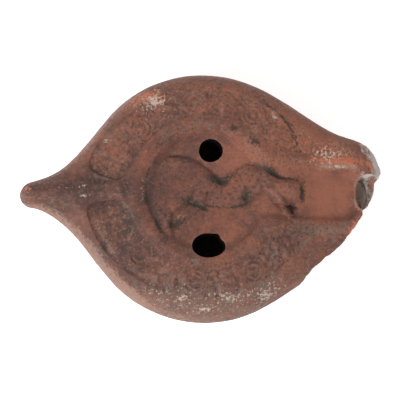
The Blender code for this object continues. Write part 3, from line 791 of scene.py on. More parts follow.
# %% Sheets for the break
LIP_HEIGHT = 0.0215
LIP_REAR_X = NOZZLE_END_X - 0.0072
LIP_MIDDLE_X = NOZZLE_END_X - 0.0065
LIP_FRONT_X = NOZZLE_END_X - 0.0019
FACE_CENTRE_X = NOZZLE_END_X - 0.0202
FACE_CENTRE_Y = 0.0050
FACE_RADIUS = 0.0155
FACE_BREADTH = 0.0046
FACE_REAR_X = NOZZLE_END_X - 0.0085
FACE_FROM_Y = 0.0070
FACE_BLEND = 0.0009
FACE_TOP = 0.0303
BREAK_SLOPE = 1.30
EDGE_SLOPE = 5.0
BREAK_UNDERCUT = 0.23
BREAK_ROUGHNESS = 0.00038
# The front sheet's reach, as shares of the nozzle's end and half width
FRONT_FROM_X = 0.824
FRONT_LENGTH = 0.252
FRONT_FROM_Y = -0.53
FRONT_BREADTH = 1.75
# The flank's break, as shares of the nozzle's end, its half width and the shoulder's height
BREAK_LINE = (
    (1.076, 0.703, 0.762), (0.995, 0.46, 0.762), (0.976, 0.324, 0.698), (0.97, 0.184, 0.683),
    (0.949, 0.011, 0.683), (0.918, -0.151, 0.683), (0.884, -0.281, 0.794), (0.845, -0.46, 0.921),
    (0.817, -0.595, 0.952), (0.787, -0.741, 0.952), (0.745, -0.903, 0.921), (0.691, -1.059, 0.889),
    (0.625, -1.222, 0.825), (0.575, -1.383, 0.762), (0.548, -1.503, 0.667), (0.513, -1.675, 0.571),
    (0.487, -1.946, 0.571),
)


def crumble(x, y, z):
    coarse = noise.fractal(Vector((x, y, z)) / 0.0034, 1.0, 2.0, 2)
    fine = noise.fractal(Vector((x, y, z)) / 0.0008, 1.0, 2.0, 2)
    return BREAK_ROUGHNESS * (coarse + 0.35 * fine)


def close_sheet(name, form, push_out):
    made = bmesh.ops.extrude_face_region(form, geom=form.faces[:], use_keep_orig=True)
    moved = [item for item in made["geom"] if isinstance(item, bmesh.types.BMVert)]
    bmesh.ops.translate(form, verts=moved, vec=push_out)
    return to_object(name, form)


flank_form = bmesh.new()
bmesh.ops.create_grid(flank_form, x_segments=110, y_segments=60, size=1.0)
for vert in flank_form.verts:
    share = (vert.co.x + 1.0) * 0.5
    spot = curve(BREAK_LINE, share) * np.array((NOZZLE_END_X, NOZZLE_HALF_WIDTH, SHOULDER_HEIGHT))
    ahead = curve(BREAK_LINE, share + 0.01) - curve(BREAK_LINE, share - 0.01)
    ahead = ahead[:2] * np.array((NOZZLE_END_X, NOZZLE_HALF_WIDTH))
    ahead = ahead / np.hypot(ahead[0], ahead[1])
    height = SHOULDER_HEIGHT * (-0.2 + 1.47 * (vert.co.y + 1.0) * 0.5)
    inward = BREAK_UNDERCUT * max(0.0, spot[2] - height) - 0.05 * max(0.0, height - spot[2])
    inward = inward + crumble(spot[0], spot[1], height)
    vert.co = (spot[0] + inward * ahead[1], spot[1] - inward * ahead[0], height)
flank_break = close_sheet("flank_break", flank_form, (NOZZLE_END_X * 0.5, -NOZZLE_END_X * 0.5, 0.0))

front_form = bmesh.new()
bmesh.ops.create_grid(front_form, x_segments=64, y_segments=110, size=1.0)
for vert in front_form.verts:
    x = NOZZLE_END_X * (FRONT_FROM_X + FRONT_LENGTH * (vert.co.x + 1.0) * 0.5)
    y = NOZZLE_HALF_WIDTH * (FRONT_FROM_Y + FRONT_BREADTH * (vert.co.y + 1.0) * 0.5)
    lip = LIP_HEIGHT - 0.3 * (x - LIP_MIDDLE_X) - 6.0 * max(0.0, x - LIP_FRONT_X)
    lip = lip + 14.0 * max(0.0, LIP_REAR_X - x)
    out = math.hypot(x - FACE_CENTRE_X, y - FACE_CENTRE_Y) - FACE_RADIUS
    face = FACE_TOP - BREAK_SLOPE * out + 1.5 * max(0.0, FACE_REAR_X - x)
    face = face - EDGE_SLOPE * max(0.0, out - FACE_BREADTH)
    share = float(ease(FACE_FROM_Y - FACE_BLEND * 1.5, FACE_FROM_Y + FACE_BLEND * 0.5, y))
    height = lip * (1.0 - share) + face * share
    height = height + crumble(x, y, 0.0) * (1.0 + 1.6 * share)
    vert.co = (x, y, max(-SHOULDER_HEIGHT * 0.13, min(SHOULDER_HEIGHT * 1.4, height)))
front_break = close_sheet("front_break", front_form, (0.0, 0.0, SHOULDER_HEIGHT * 1.6))
print("break sheets:", len(flank_break.data.vertices), len(front_break.data.vertices), "points")

# %% [markdown]
# ## Node groups for clay
# The same three effects show in several places, so each is a group: mixed clay colours with a fine
# speckle, dirt and painted shade that stay in hollows, and chalky crust left by the soil, which also
# lays rubbed places and painted light. They read the point's place on the object, so the pattern stays
# put from every side.

# %% Helpers for shader nodes


def fill(socket, value):
    """Joins another node's output to a socket, or gives it a plain number or colour."""
    if isinstance(value, bpy.types.NodeSocket):
        socket.id_data.links.new(value, socket)
    elif isinstance(value, tuple):
        socket.default_value = (*value, 1.0)
    else:
        socket.default_value = value


def node(tree, kind, **values):
    """A new node. Each value is one of its settings or, with _ for a space, one of its sockets."""
    made = tree.nodes.new("ShaderNode" + kind)
    for name, value in values.items():
        if hasattr(made, name):
            setattr(made, name, value)
        else:
            fill(made.inputs[name.replace("_", " ")], value)
    return made


def noise_at(tree, scale, detail=4.0, roughness=0.6, **shift):
    """Noise at the point's place on the object, four-dimensional where W is given."""
    place = node(tree, "TexCoord").outputs["Object"]
    space = "4D" if shift else "3D"
    made = node(tree, "TexNoise", noise_dimensions=space, Vector=place, Scale=scale, **shift)
    fill(made.inputs["Detail"], detail)
    fill(made.inputs["Roughness"], roughness)
    return made.outputs["Fac"]


def stretch(value, low, high, out_low=0.0, out_high=1.0):
    made = node(
        value.id_data, "MapRange", interpolation_type="SMOOTHSTEP",
        Value=value, From_Min=low, From_Max=high, To_Min=out_low, To_Max=out_high,
    )
    return made.outputs["Result"]


def reckon(what, first, second):
    made = node(first.id_data, "Math", operation=what)
    fill(made.inputs[0], first)
    fill(made.inputs[1], second)
    return made.outputs[0]


def add(first, second):
    return reckon("ADD", first, second)


def multiply(first, second):
    return reckon("MULTIPLY", first, second)


def mix(share, first, second):
    made = node(share.id_data, "Mix", data_type="RGBA")
    for index, value in ((0, share), (6, first), (7, second)):
        fill(made.inputs[index], value)
    return made.outputs[2]


def painted(tree, name):
    return node(tree, "Attribute", attribute_type="GEOMETRY", attribute_name=name).outputs["Fac"]


def new_group(name, inputs, outputs):
    """A shared group of nodes, with what goes into it and what comes out."""
    group = bpy.data.node_groups.new(name, "ShaderNodeTree")
    for way, socket_names in (("INPUT", inputs), ("OUTPUT", outputs)):
        for socket_name in socket_names:
            kind = "NodeSocketColor" if "Colour" in socket_name else "NodeSocketFloat"
            group.interface.new_socket(socket_name, in_out=way, socket_type=kind)
    start = group.nodes.new("NodeGroupInput").outputs
    end = group.nodes.new("NodeGroupOutput").inputs
    return group, start, end


# %% [markdown]
# The first group mixes two clay colours in soft patches and then in a speckle of grains, some
# darker and some redder. One noise alone looks like cloud; three sizes together look like clay.

# %% Group: mottled clay
mottle_inputs = ("Colour A", "Colour B", "Balance", "Dark Grain", "Red Grain")
mottle, start, end = new_group("mottled_clay", mottle_inputs, ("Colour", "Grain"))
patch = noise_at(mottle, 150.0, 5.0, 0.68, W=0.0)
share = stretch(add(patch, add(start["Balance"], -0.5)), 0.20, 0.80)
colour = mix(share, start["Colour A"], start["Colour B"])
grain = noise_at(mottle, 1150.0, 3.0, 0.75, W=2.0)
coarse_grain = noise_at(mottle, 760.0, 4.0, 0.75, W=5.0)
dark = multiply(stretch(grain, 0.50, 0.66), start["Dark Grain"])
colour = mix(dark, colour, (0.060, 0.048, 0.034))
light = multiply(stretch(grain, 0.45, 0.35), multiply(start["Dark Grain"], 0.50))
colour = mix(light, colour, (0.36, 0.22, 0.16))
red = multiply(stretch(coarse_grain, 0.54, 0.66), start["Red Grain"])
fill(end["Colour"], mix(red, colour, (0.29, 0.080, 0.046)))
fill(end["Grain"], grain)
print("group", mottle.name, "with", len(mottle.nodes), "nodes")

# %% [markdown]
# The second group lays dark dirt and painted shade into hollows. It reads a painted value that says how
# deep a point lies below its neighbours, and breaks the edge of the dark up with noise.

# %% Group: dirt and painted shade in hollows
dirt_inputs = ("Colour", "Hollow", "Dirt Colour", "Amount")
dirt_and_shade_group, start, end = new_group("dirt_and_shade_in_hollows", dirt_inputs, ("Colour", "Mask"))
ragged = multiply(add(noise_at(dirt_and_shade_group, 1250.0, 4.0, 0.85, W=1.0), -0.5), 5.0)
mask = multiply(stretch(add(start["Hollow"], ragged), 0.35, 0.95), start["Amount"])
fill(end["Colour"], mix(mask, start["Colour"], start["Dirt Colour"]))
fill(end["Mask"], mask)
print("group", dirt_and_shade_group.name, "with", len(dirt_and_shade_group.nodes), "nodes")

# %% [markdown]
# The third group is the pale chalky crust and the rubbed places, and it also lays the painted highlights
# and the painted light on the walls. It needs a painted amount, and breaks it into grains: only where
# noise and amount together pass a threshold does the coat show.

# %% Group: chalky crust, wear and painted light
crust_inputs = ("Colour", "Painted", "Crust Colour", "Grain Size", "Raggedness", "Strength")
overlay_group, start, end = new_group("crust_wear_and_light_overlay", crust_inputs, ("Colour", "Mask"))
crumbs = noise_at(overlay_group, start["Grain Size"], 4.0, 0.72)
swing = multiply(add(crumbs, -0.5), start["Raggedness"])
mask = multiply(stretch(add(start["Painted"], swing), 0.45, 0.95), start["Strength"])
fill(end["Colour"], mix(mask, start["Colour"], start["Crust Colour"]))
fill(end["Mask"], mask)
print("group", overlay_group.name, "with", len(overlay_group.nodes), "nodes")

# %% [markdown]
# ## The worn red slip
# The slip is a thin brown-red coat, darker and more mauve over the disc's handle side, partly as painted
# shade, and more orange along the channel. Above it lie, in order: soil dust, rubbed crests with painted
# highlights, patches worn down to pinkish clay with painted light on the side walls, fresh orange chips,
# dark dirt and painted shade in the relief, and chalky crust along the lower shoulder. It is dull, and
# only the smooth channel has a trace of sheen.

# %% The worn red slip


def new_material(name, roughness):
    material = bpy.data.materials.new(name)
    material.use_nodes = True
    sockets = material.node_tree.nodes["Principled BSDF"].inputs
    sockets["Roughness"].default_value = roughness
    sockets["Specular IOR Level"].default_value = 0.32
    return material, material.node_tree, sockets


def clay(tree, first, second, balance, dark, red):
    return node(
        tree, "Group", node_tree=mottle,
        Colour_A=first, Colour_B=second, Balance=balance, Dark_Grain=dark, Red_Grain=red,
    ).outputs


def overlay(tree, below, paint, colour, grain, raggedness, strength):
    return node(
        tree, "Group", node_tree=overlay_group, Colour=below["Colour"], Painted=painted(tree, paint),
        Crust_Colour=colour, Grain_Size=grain, Raggedness=raggedness, Strength=strength,
    ).outputs


def dirt_and_painted_shade(tree, below, colour, amount):
    return node(
        tree, "Group", node_tree=dirt_and_shade_group, Colour=below["Colour"], Hollow=painted(tree, "dirt_and_painted_shade"),
        Dirt_Colour=colour, Amount=amount,
    ).outputs


def finish_clay(tree, sockets, top, height, strength, distance):
    """Gives the shader its colour and a finely rough skin."""
    fill(sockets["Base Color"], top["Colour"])
    bump = node(tree, "Bump", Strength=strength, Distance=distance, Height=height)
    fill(sockets["Normal"], bump.outputs["Normal"])


slip, tree, sockets = new_material("worn_red_slip", 0.72)
speckle = painted(tree, "speckle")
red = multiply(speckle, 0.45)
base = clay(tree, (0.080, 0.038, 0.033), (0.274, 0.098, 0.060), painted(tree, "warmth_and_shade"), speckle, red)
coat = base
for paint, colour, size, raggedness, strength in (
    ("dust", (0.182, 0.124, 0.098), 520.0, 2.2, 0.60),
    ("crest_wear_and_highlight", (0.270, 0.145, 0.105), 900.0, 2.2, 0.48),
    ("bare_clay_and_wall_light", (0.345, 0.210, 0.160), 800.0, 1.9, 0.62),
    ("fresh", (0.460, 0.145, 0.078), 1000.0, 4.0, 0.88),
):
    coat = overlay(tree, coat, paint, colour, size, raggedness, strength)
coat = dirt_and_painted_shade(tree, coat, (0.040, 0.030, 0.021), 0.92)
chalky = overlay(tree, coat, "chalk", (0.560, 0.450, 0.380), 1000.0, 5.0, 0.80)
shine = stretch(base["Grain"], 0.3, 0.7, 0.60, 0.82)
fill(sockets["Roughness"], add(shine, multiply(chalky["Mask"], 0.15)))
skin = add(noise_at(tree, 380.0, 5.0, 0.65, W=0.0), multiply(base["Grain"], 0.5))
finish_clay(tree, sockets, chalky, add(skin, multiply(chalky["Mask"], 0.6)), 0.55, 0.00022)
print("material", slip.name, "with", len(tree.nodes), "nodes")

# %% [markdown]
# ## Inside, hole walls and the broken clay
# Inside, the clay never had slip; it is brown and darkened by old oil, with pale ash and soil left in
# the nozzle. The ash is made pale enough to show through the nozzle's shade, so it is partly painted
# light, and it thins towards the lower side as painted shade. The walls of the two filling holes are
# painted almost black, as painted shade for the dark inside the holes. The break shows the raw clay:
# orange where it is fresh, grey-white where soil and lime have settled on it for centuries.

# %% Inside and broken clay
inside, tree, sockets = new_material("oil_dark_inside", 0.85)
base = clay(tree, (0.030, 0.020, 0.015), (0.060, 0.036, 0.026), 0.5, 0.5, 0.05)
# Pale ash in the nozzle, partly painted light so that it shows through the shade.
ash_and_painted_light = overlay(tree, base, "ash_and_painted_light", (0.640, 0.460, 0.370), 400.0, 3.0, 1.0)
finish_clay(tree, sockets, ash_and_painted_light, noise_at(tree, 300.0, W=0.0), 0.5, 0.0003)

# The filling holes' walls are painted almost black: painted shade for the dark inside the holes.
hole_shade, tree, sockets = new_material("hole_wall_painted_shade", 1.0)
sockets["Specular IOR Level"].default_value = 0.02
sockets["Base Color"].default_value = (0.006, 0.005, 0.004, 1.0)

ashy, tree, sockets = new_material("ashy_wick_hole", 0.95)
base = clay(tree, (0.260, 0.215, 0.190), (0.420, 0.360, 0.315), 0.5, 0.5, 0.0)
finish_clay(tree, sockets, base, noise_at(tree, 500.0, W=0.0), 0.6, 0.0003)

broken, tree, sockets = new_material("broken_clay", 0.90)
base = clay(tree, (0.190, 0.098, 0.082), (0.330, 0.180, 0.150), 0.5, 0.55, 0.15)
chipped = overlay(tree, base, "fresh", (0.560, 0.190, 0.095), 900.0, 2.2, 0.9)
limed = overlay(tree, chipped, "face_lime", (0.560, 0.505, 0.465), 700.0, 2.2, 0.85)
dirt_and_shade_coat = dirt_and_painted_shade(tree, limed, (0.060, 0.045, 0.034), 0.8)
finish_clay(tree, sockets, dirt_and_shade_coat, noise_at(tree, 700.0, 5.0, 0.7, W=0.0), 0.7, 0.0004)
print("materials:", [material.name for material in (slip, inside, hole_shade, ashy, broken)])

# %% [markdown]
# ## Cutting the lamp
# Each cutter carries the material of the surface that it leaves, and the exact boolean passes it to
# the new faces. The cutters are thrown away once the result is baked into the lamp's own mesh.

# %% Cutting
lamp.data.materials.append(slip)
cutters = (
    (hollow, inside), (upper_hole, hole_shade), (lower_hole, hole_shade),
    (wick_hole, ashy), (front_break, broken), (flank_break, broken),
)
for cutter, material in cutters:
    cutter.data.materials.append(material)
    step = lamp.modifiers.new(cutter.name, "BOOLEAN")
    step.operation = "DIFFERENCE"
    step.solver = "EXACT"
    step.material_mode = "TRANSFER"
    step.object = cutter
lamp_mesh = bpy.data.meshes.new_from_object(lamp.evaluated_get(bpy.context.evaluated_depsgraph_get()))
lamp.modifiers.clear()
lamp.data = lamp_mesh
lamp.data.name = "oil_lamp"
for cutter, material in cutters:
    bpy.data.objects.remove(cutter, do_unlink=True)
print("cut lamp:", len(lamp.data.polygons), "faces")

# %% [markdown]
# ## Cleaning and shading
# The mesh is made of triangles, welded where the cuts left doubled points, and shaded smooth except
# along the sharp edges of the breaks.

# %% Cleaning and shading
SHARP_ANGLE = math.radians(48.0)

form = bmesh.new()
form.from_mesh(lamp.data)
bmesh.ops.remove_doubles(form, verts=form.verts, dist=0.000004)
bmesh.ops.dissolve_degenerate(form, edges=form.edges, dist=0.000002)
bmesh.ops.triangulate(form, faces=form.faces)
bmesh.ops.recalc_face_normals(form, faces=form.faces)
open_edges = sum(1 for edge in form.edges if not edge.is_manifold)
for face in form.faces:
    face.smooth = True
for edge in form.edges:
    if edge.is_manifold and edge.calc_face_angle(0.0) > SHARP_ANGLE:
        edge.smooth = False
volume = form.calc_volume(signed=True)
form.to_mesh(lamp.data)
form.free()
print("triangles", len(lamp.data.polygons), "open edges", open_edges, "clay cm3", round(volume * 1e6, 1))

# %% [markdown]
# ## Painting where wear, dirt, painted light and painted shade lie
# The shader needs to know where things happen. Hollows are measured on the mesh itself: the points
# are smoothed a few times, and a point that its smoothed neighbours lie above is in a hollow. The
# other amounts are soft patches placed on the lamp.

# %% Hollows
count = len(lamp.data.vertices)
spots = points_of(lamp.data, "co")
normals = points_of(lamp.data, "normal")
pairs = np.empty(len(lamp.data.edges) * 2, dtype=np.int64)
lamp.data.edges.foreach_get("vertices", pairs)
pairs = pairs.reshape(-1, 2)
links = np.bincount(pairs.ravel(), minlength=count).astype(float)


def hollow_depth(rounds):
    """How far each point lies below its smoothed neighbours, in millimetres."""
    out = spots.copy()
    for turn in range(rounds):
        total = np.empty_like(out)
        for axis in range(3):
            total[:, axis] = np.bincount(pairs[:, 0], out[pairs[:, 1], axis], count)
            total[:, axis] += np.bincount(pairs[:, 1], out[pairs[:, 0], axis], count)
        out = 0.5 * out + 0.5 * total / np.maximum(links, 1.0)[:, None]
    return ((out - spots) * normals).sum(axis=1) * 1000.0


close = hollow_depth(10)
wide = hollow_depth(60)
hollow_paint = np.clip(close / 0.06, -1.0, 1.0) * 0.55 + np.clip(wide / 0.22, -1.0, 1.0) * 0.45
print("hollow paint from", round(hollow_paint.min(), 2), "to", round(hollow_paint.max(), 2))

# %% Painting helpers


def save_paint(name, values):
    layer = lamp.data.attributes.new(name, "FLOAT", "POINT")
    layer.data.foreach_set("value", values.astype(np.float32))


def patches(table):
    """Adds up soft patches: x, y, half length, half width in millimetres, turn and amount."""
    return sum(amount * dot(x_mm, y_mm, *shape) for *shape, amount in table)


def arc(at_radius, half, first, last):
    """A thin arc about the lamp's middle between two bearings in degrees."""
    bearing = np.degrees(np.arctan2(y, x))
    window = ease(first - 4.0, first + 4.0, bearing) * ease(last + 4.0, last - 4.0, bearing)
    return ring_line(radius, at_radius, half) * window


x, y, z = spots.T
x_mm, y_mm, z_mm = spots.T * 1000.0
up = ease(0.2, 0.8, normals[:, 2])
radius = np.hypot(x_mm, y_mm)
offset = recess_plan(x, y) * 1000.0
edge_gap = lamp_plan(x, y) * 1000.0
floor_area = ease(-0.2, -1.8, offset) * up
channel_area = floor_area * ease(30.0, 36.0, x_mm)
figure_gap = animal_height(x, y)[1] * 1000.0
figure = ease(0.3, -0.8, figure_gap) * floor_area
outline = ring_line(figure_gap, 0.1, 0.5) * floor_area
patchy = lumps(x, y, z, 0.006, 3)
slow = lumps(x + 0.5, y, z, 0.016, 2)

# %% [markdown]
# The slip fired unevenly. It is mauve-brown on the handle, the ridge beside it and the animal, more
# orange-brown on the side of the nozzle, and smoothest in the channel. Part of the darkening is painted
# shade: the handle, the lower left, the left of the disc and the nozzle's end beside the wick hole are
# darker to stand for shade, and the hollows of the mesh are a little darker too. These amounts lean the
# two clay colours one way or the other, and set how strong the speckle and the grey dust are.

# %% Colour regions and painted shade
# Darker entries on the handle, the lower left, the left of the disc and beside the wick hole are painted
# shade; the rest is the slip's uneven firing.
WARMTH_AND_SHADE_REGIONS = (
    (29, 18, 16, 13, 0, 0.27), (0, 33, 16, 8, 0, 0.1), (-24, -1, 4.5, 16, 0, -0.14),
    (-13, -1, 10, 13, 0, -0.05), (-45, -0.5, 19, 6, 0, -0.23), (43, 0, 14, 8.5, 0, 0.3),
    (8, -12, 11, 7, 0, 0.06), (-31.5, 12.5, 8, 6, 0, 0.05), (12, 13, 8, 6, 0, 0.14),
    (-29, -19, 14, 9, -50, -0.23), (28, -20, 11, 9, 0, -0.045), (49.4, -1.5, 2.6, 6.5, 0, -0.2),
    (-2, -32, 16, 7, 0, -0.03),
)
DUST_REGIONS = (
    (26, 18, 12, 8, 0, -0.22), (-27, -19, 14, 9, -50, -0.26), (38, -11.4, 11, 1.7, 0, 0.45),
)
field = field_share(x, y) * up
west = ease(-12.0, -24.0, x_mm)
handle_band = ease(-24.0, -30.0, x_mm) * ease(4.4, 3.0, np.abs(y_mm + 0.3))
flank = (1.0 - field) * west * ease(4.5, 6.0, offset) * (1.0 - handle_band)
near_rim = ease(-3.6, -1.2, edge_gap) * west
smooth_ridge = ease(-1.0, 0.4, offset) * ease(5.2, 4.0, offset) * west
lower_band = ring_line(radius, 37.6, 5.4) * ease(-18.0, -30.0, y_mm)
lower_band = lower_band * ease(-34.0, -16.0, x_mm) * ease(31.0, 18.0, x_mm)
spotted = (0.04 + 0.17 * ease(-2.0, 2.0, x_mm)) * figure * coat_spots(x, y)
warmth_and_shade_paint = 0.51 + patches(WARMTH_AND_SHADE_REGIONS) - 0.050 * figure + 0.020 * slow - spotted
warmth_and_shade_paint = warmth_and_shade_paint - 0.09 * np.clip(close / 0.030, 0.0, 1.0) - 0.02 * flank
save_paint("warmth_and_shade", warmth_and_shade_paint + 0.06 * smooth_ridge + 0.05 * west * field)
speckle_paint = 0.78 - 0.38 * floor_area - 0.30 * channel_area + 0.12 * patchy
speckle_paint = speckle_paint - 0.55 * dot(x_mm, y_mm, 40.0, 20.0, 15.0, 4.5, -20.0)
save_paint("speckle", speckle_paint - 0.55 * flank - 0.30 * smooth_ridge)
dust_paint = 0.50 - 0.26 * floor_area - 0.30 * channel_area + 0.22 * patchy - 0.25 * smooth_ridge
save_paint("dust", dust_paint + patches(DUST_REGIONS) + 0.36 * lower_band)

# %% [markdown]
# Handling rubs the high places first, so crests of the relief are paler than the rest; this pale paint
# is partly that wear and partly painted highlight. The mesh shows where crests are, and a few edges that
# catch the eye are drawn in one by one: the streak above the waist, the lower edge of the foreleg, the
# leaf edges and the corners of the stamped fields. The streak, the foreleg's edge, the channel's ridges
# and the upper arc of the disc's ridge are painted highlights on slopes that face the light.

# %% Rubbed crests and painted highlights
# Edges with painted highlight where they face the light, and rubbed crests.
CREST_WEAR_AND_HIGHLIGHT_PLACES = (
    (10.2, 6.9, 4, 0.4, 36, 0.9), (16.5, 1.1, 2.3, 0.35, 9, 0.4), (20, 0.9, 1.6, 0.35, -20, 0.4),
    (22, -1, 1.9, 0.35, -57, 0.45), (23.7, -3.9, 1.9, 0.35, -60, 0.45),
    (25.2, -6.4, 1.4, 0.35, -57, 0.42), (-38.2, 9.2, 2.7, 0.4, -79, 0.5),
    (-36.5, 5.5, 1.8, 0.4, -42, 0.6), (-32.6, 3.8, 2.9, 0.4, -13, 0.6),
    (-28.2, 3.7, 2.2, 0.4, 30, 0.6), (-25.7, 6.4, 2.4, 0.4, 72, 0.5), (-32.2, -4, 4, 0.4, 0, 0.5),
    (-33.1, -15.8, 2.8, 0.5, -78, 1.1), (-32, -19.2, 2.6, 0.5, -67, 1.1),
    (-25.1, -14.5, 3.2, 0.5, 66, 1), (-29, -8.5, 3.2, 2.6, 0, 0.4), (33, 11.5, 16, 0.5, 0, 0.55),
    (43.5, 8.7, 6.5, 0.5, 0, 0.85), (36, -9, 13, 0.4, 0, 0.4), (-22.6, -2, 0.5, 7.5, 0, 0.35),
    (-14, -15, 2.2, 0.35, -20, 0.45), (28.5, 23, 7, 0.5, -47, 0.45), (24, 28, 7, 0.5, -38, 0.45),
)
crest_wear_and_highlight = np.clip(-(close + 0.006) / 0.030, 0.0, 1.0) * up
crest_wear_and_highlight = crest_wear_and_highlight * (0.15 + 0.85 * np.maximum(field_share(x, y), floor_area))
crest_wear_and_highlight = crest_wear_and_highlight * (1.0 - 0.35 * ease(-14.0, -24.0, x_mm))
crest_wear_and_highlight_paint = 0.02 + 0.66 * crest_wear_and_highlight + patches(CREST_WEAR_AND_HIGHLIGHT_PLACES) * up + 0.20 * patchy - 0.08 * floor_area
# A pale line along the western field edges, and the upper arc of the disc's ridge: painted highlight.
field_rim = ring_line(field, 0.35, 0.22) * west * (y_mm > -24.0)
save_paint("crest_wear_and_highlight", crest_wear_and_highlight_paint + 0.30 * arc(22.0, 0.4, 70.0, 150.0) + 0.50 * field_rim)

# %% [markdown]
# Where the slip is rubbed or chipped away, the pinkish clay shows: on the lower left wall, at a bruise
# on the upper left shoulder, beside the channel near the nozzle and at the handle's tip. The same pale
# paint also covers the side walls and the western rim as painted light, for light bounced from the floor
# and a grazing sheen, stronger where a wall faces the key light. The freshest chips are bright orange.
# White lime clings to the lower shoulder and to the broken end.

# %% Rubbed, fresh and chalky places, and painted light on the walls
BARE_PLACES = (
    (-18.6, 30.4, 7.5, 4.6, 20, 0.78), (42.4, 13.4, 8.5, 3.8, -4, 0.66),
    (44, 9.5, 9.5, 0.9, 0, 1.05), (-33, 16.9, 2.2, 1.8, 0, 0.75), (38, 19.5, 16, 4, -20, 0.48),
    (14, 34, 24, 7, -20, 0.2),
)
# Side wall patches: rubbed clay, and painted light on the walls.
WALL_WEAR_AND_LIGHT_PLACES = (
    (-41, -15.5, 14, 2, -42, 0.14), (-27, -31.5, 11, 2, -46, 0.16), (-8, -40.6, 14, 1.6, -10, 0.3),
    (-43, 13, 12, 2.6, 42, 0.2), (30, 31, 16, 1.8, -33, 0.4),
)
FRESH_PLACES = (
    (-20.6, 32, 5.2, 3, 30, 1.05), (-15, 31.3, 4.4, 2.4, 0, 0.72), (-25.5, 29.5, 4, 2.2, 40, 0.45),
    (42.6, 13.8, 7.8, 3.6, -6, 0.98), (44.5, 11.4, 9.5, 1.3, -3, 1.25), (41, 8.3, 9, 0.7, 0, 0.45),
    (48.3, -11.2, 4, 1.6, 58, 1.25), (56.3, 5, 0.9, 2, 0, 1.05), (54.8, 10.1, 1.3, 1.8, 0, 0.95),
    (-59.2, -0.2, 1.8, 1.5, 0, 0.98), (-29, 9, 7, 6, 0, 0.34), (31, 20, 12, 8, -30, 0.3),
    (32, 17.5, 8, 1.6, -20, 0.3), (-10, -37, 18, 2.8, 0, 0.4), (-14, -33, 8, 4, 0, 0.2),
)
CHALK_PLACES = (
    (-18.4, 30, 7.4, 4.4, 20, 1.02), (-16.5, 29.8, 2.2, 1.2, -30, 0.45),
    (40.5, 13.6, 8, 3.8, -6, 0.96), (39, 13.4, 3.2, 1.8, 0, 0.22), (-33, 16.9, 1.9, 1.5, 0, 1.1),
    (22.4, 26.3, 2, 1.1, -40, 1.15), (-41.3, 1, 1.8, 1.2, 0, 0.95), (-40.2, -2, 2.6, 0.8, 0, 0.95),
    (-48.4, 0, 1.4, 0.9, 0, 0.85), (-5.6, -3.1, 1.2, 0.9, 0, 0.9), (44, 9.4, 7.5, 0.8, 0, 0.62),
    (-21.7, -2, 0.7, 6, 0, 0.86), (-1, 28, 1.7, 1.1, 50, 0.75), (23, -32, 5.6, 3.6, 20, 0.45),
    (5.5, -34.4, 2.6, 1.4, 0, 0.62), (19.5, -35, 3, 1.6, 20, 0.62),
    (-15.5, -37.6, 3.2, 1.2, -20, 0.62), (-0.6, -38.6, 2.2, 0.9, 0, 0.62),
    (-8.4, -35.5, 2.6, 1.2, 0, 0.4), (-9, -31.5, 8, 2.6, 0, 0.2), (6, -33.5, 9, 3, 0, 0.2),
)
FACE_LIME = (
    (57.4, 11, 1.2, 5.5, 14, 0.6), (52.5, 7, 3, 0.9, 0, 0.5), (54, 4.5, 0.8, 2.5, 0, 0.4),
    (56.3, 5, 0.8, 1.8, 0, -0.6), (54.6, 10.1, 1.1, 1.5, 0, -0.5),
)
near_edge = np.where(z > rim_level(x), ease(-3.4, -0.8, edge_gap), 1.0)
side_wall = (1.0 - up) * (z_mm > 4.0) * near_edge
# How much a wall faces the key light at the lower left: such walls get more pale paint, as painted
# light.
faces_the_key = ease(-0.1, 0.8, -(normals[:, 0] * 0.75 + normals[:, 1] * 0.65))
hole_rim = ring_line(np.hypot((x_mm - 52.2) / 2.9, (y_mm - 1.0) / 6.1), 1.04, 0.12) * (z_mm > 19.0)
# Pale paint on the side walls and the western rim is painted light as well as rubbed clay.
bare_and_wall_light_paint = 0.20 * slow + patches(BARE_PLACES) + patches(WALL_WEAR_AND_LIGHT_PLACES) * (1.0 - up) + 0.24 * flank
bare_and_wall_light_paint = bare_and_wall_light_paint + 0.40 * side_wall * (0.60 + 0.34 * faces_the_key) + 0.30 * near_rim
save_paint("bare_clay_and_wall_light", bare_and_wall_light_paint + 0.85 * hole_rim - 0.08)
save_paint("fresh", patches(FRESH_PLACES) * ease(-0.2, 0.3, normals[:, 2]) + 0.05 * patchy - 0.20)
chalk_paint = 0.64 * lower_band * (z > RIM_HEIGHT - 0.001) + patches(CHALK_PLACES) * up
save_paint("chalk", chalk_paint + 0.10 * patchy + 0.75 * hole_rim - 0.45)
face_lime = 0.66 * ease(5.5, 7.5, y_mm) + 0.74 * (y_mm < 6.0) + patches(FACE_LIME)
save_paint("face_lime", face_lime * ease(50.0, 52.0, x_mm) * (z_mm > 12.0))
# Ash in the nozzle, pale enough to be partly painted light; less of it towards the lower side, as
# painted shade.
save_paint("ash_and_painted_light", 1.15 * ease(44.0, 49.0, x_mm) - 0.35 * ease(2.0, -5.0, y_mm))
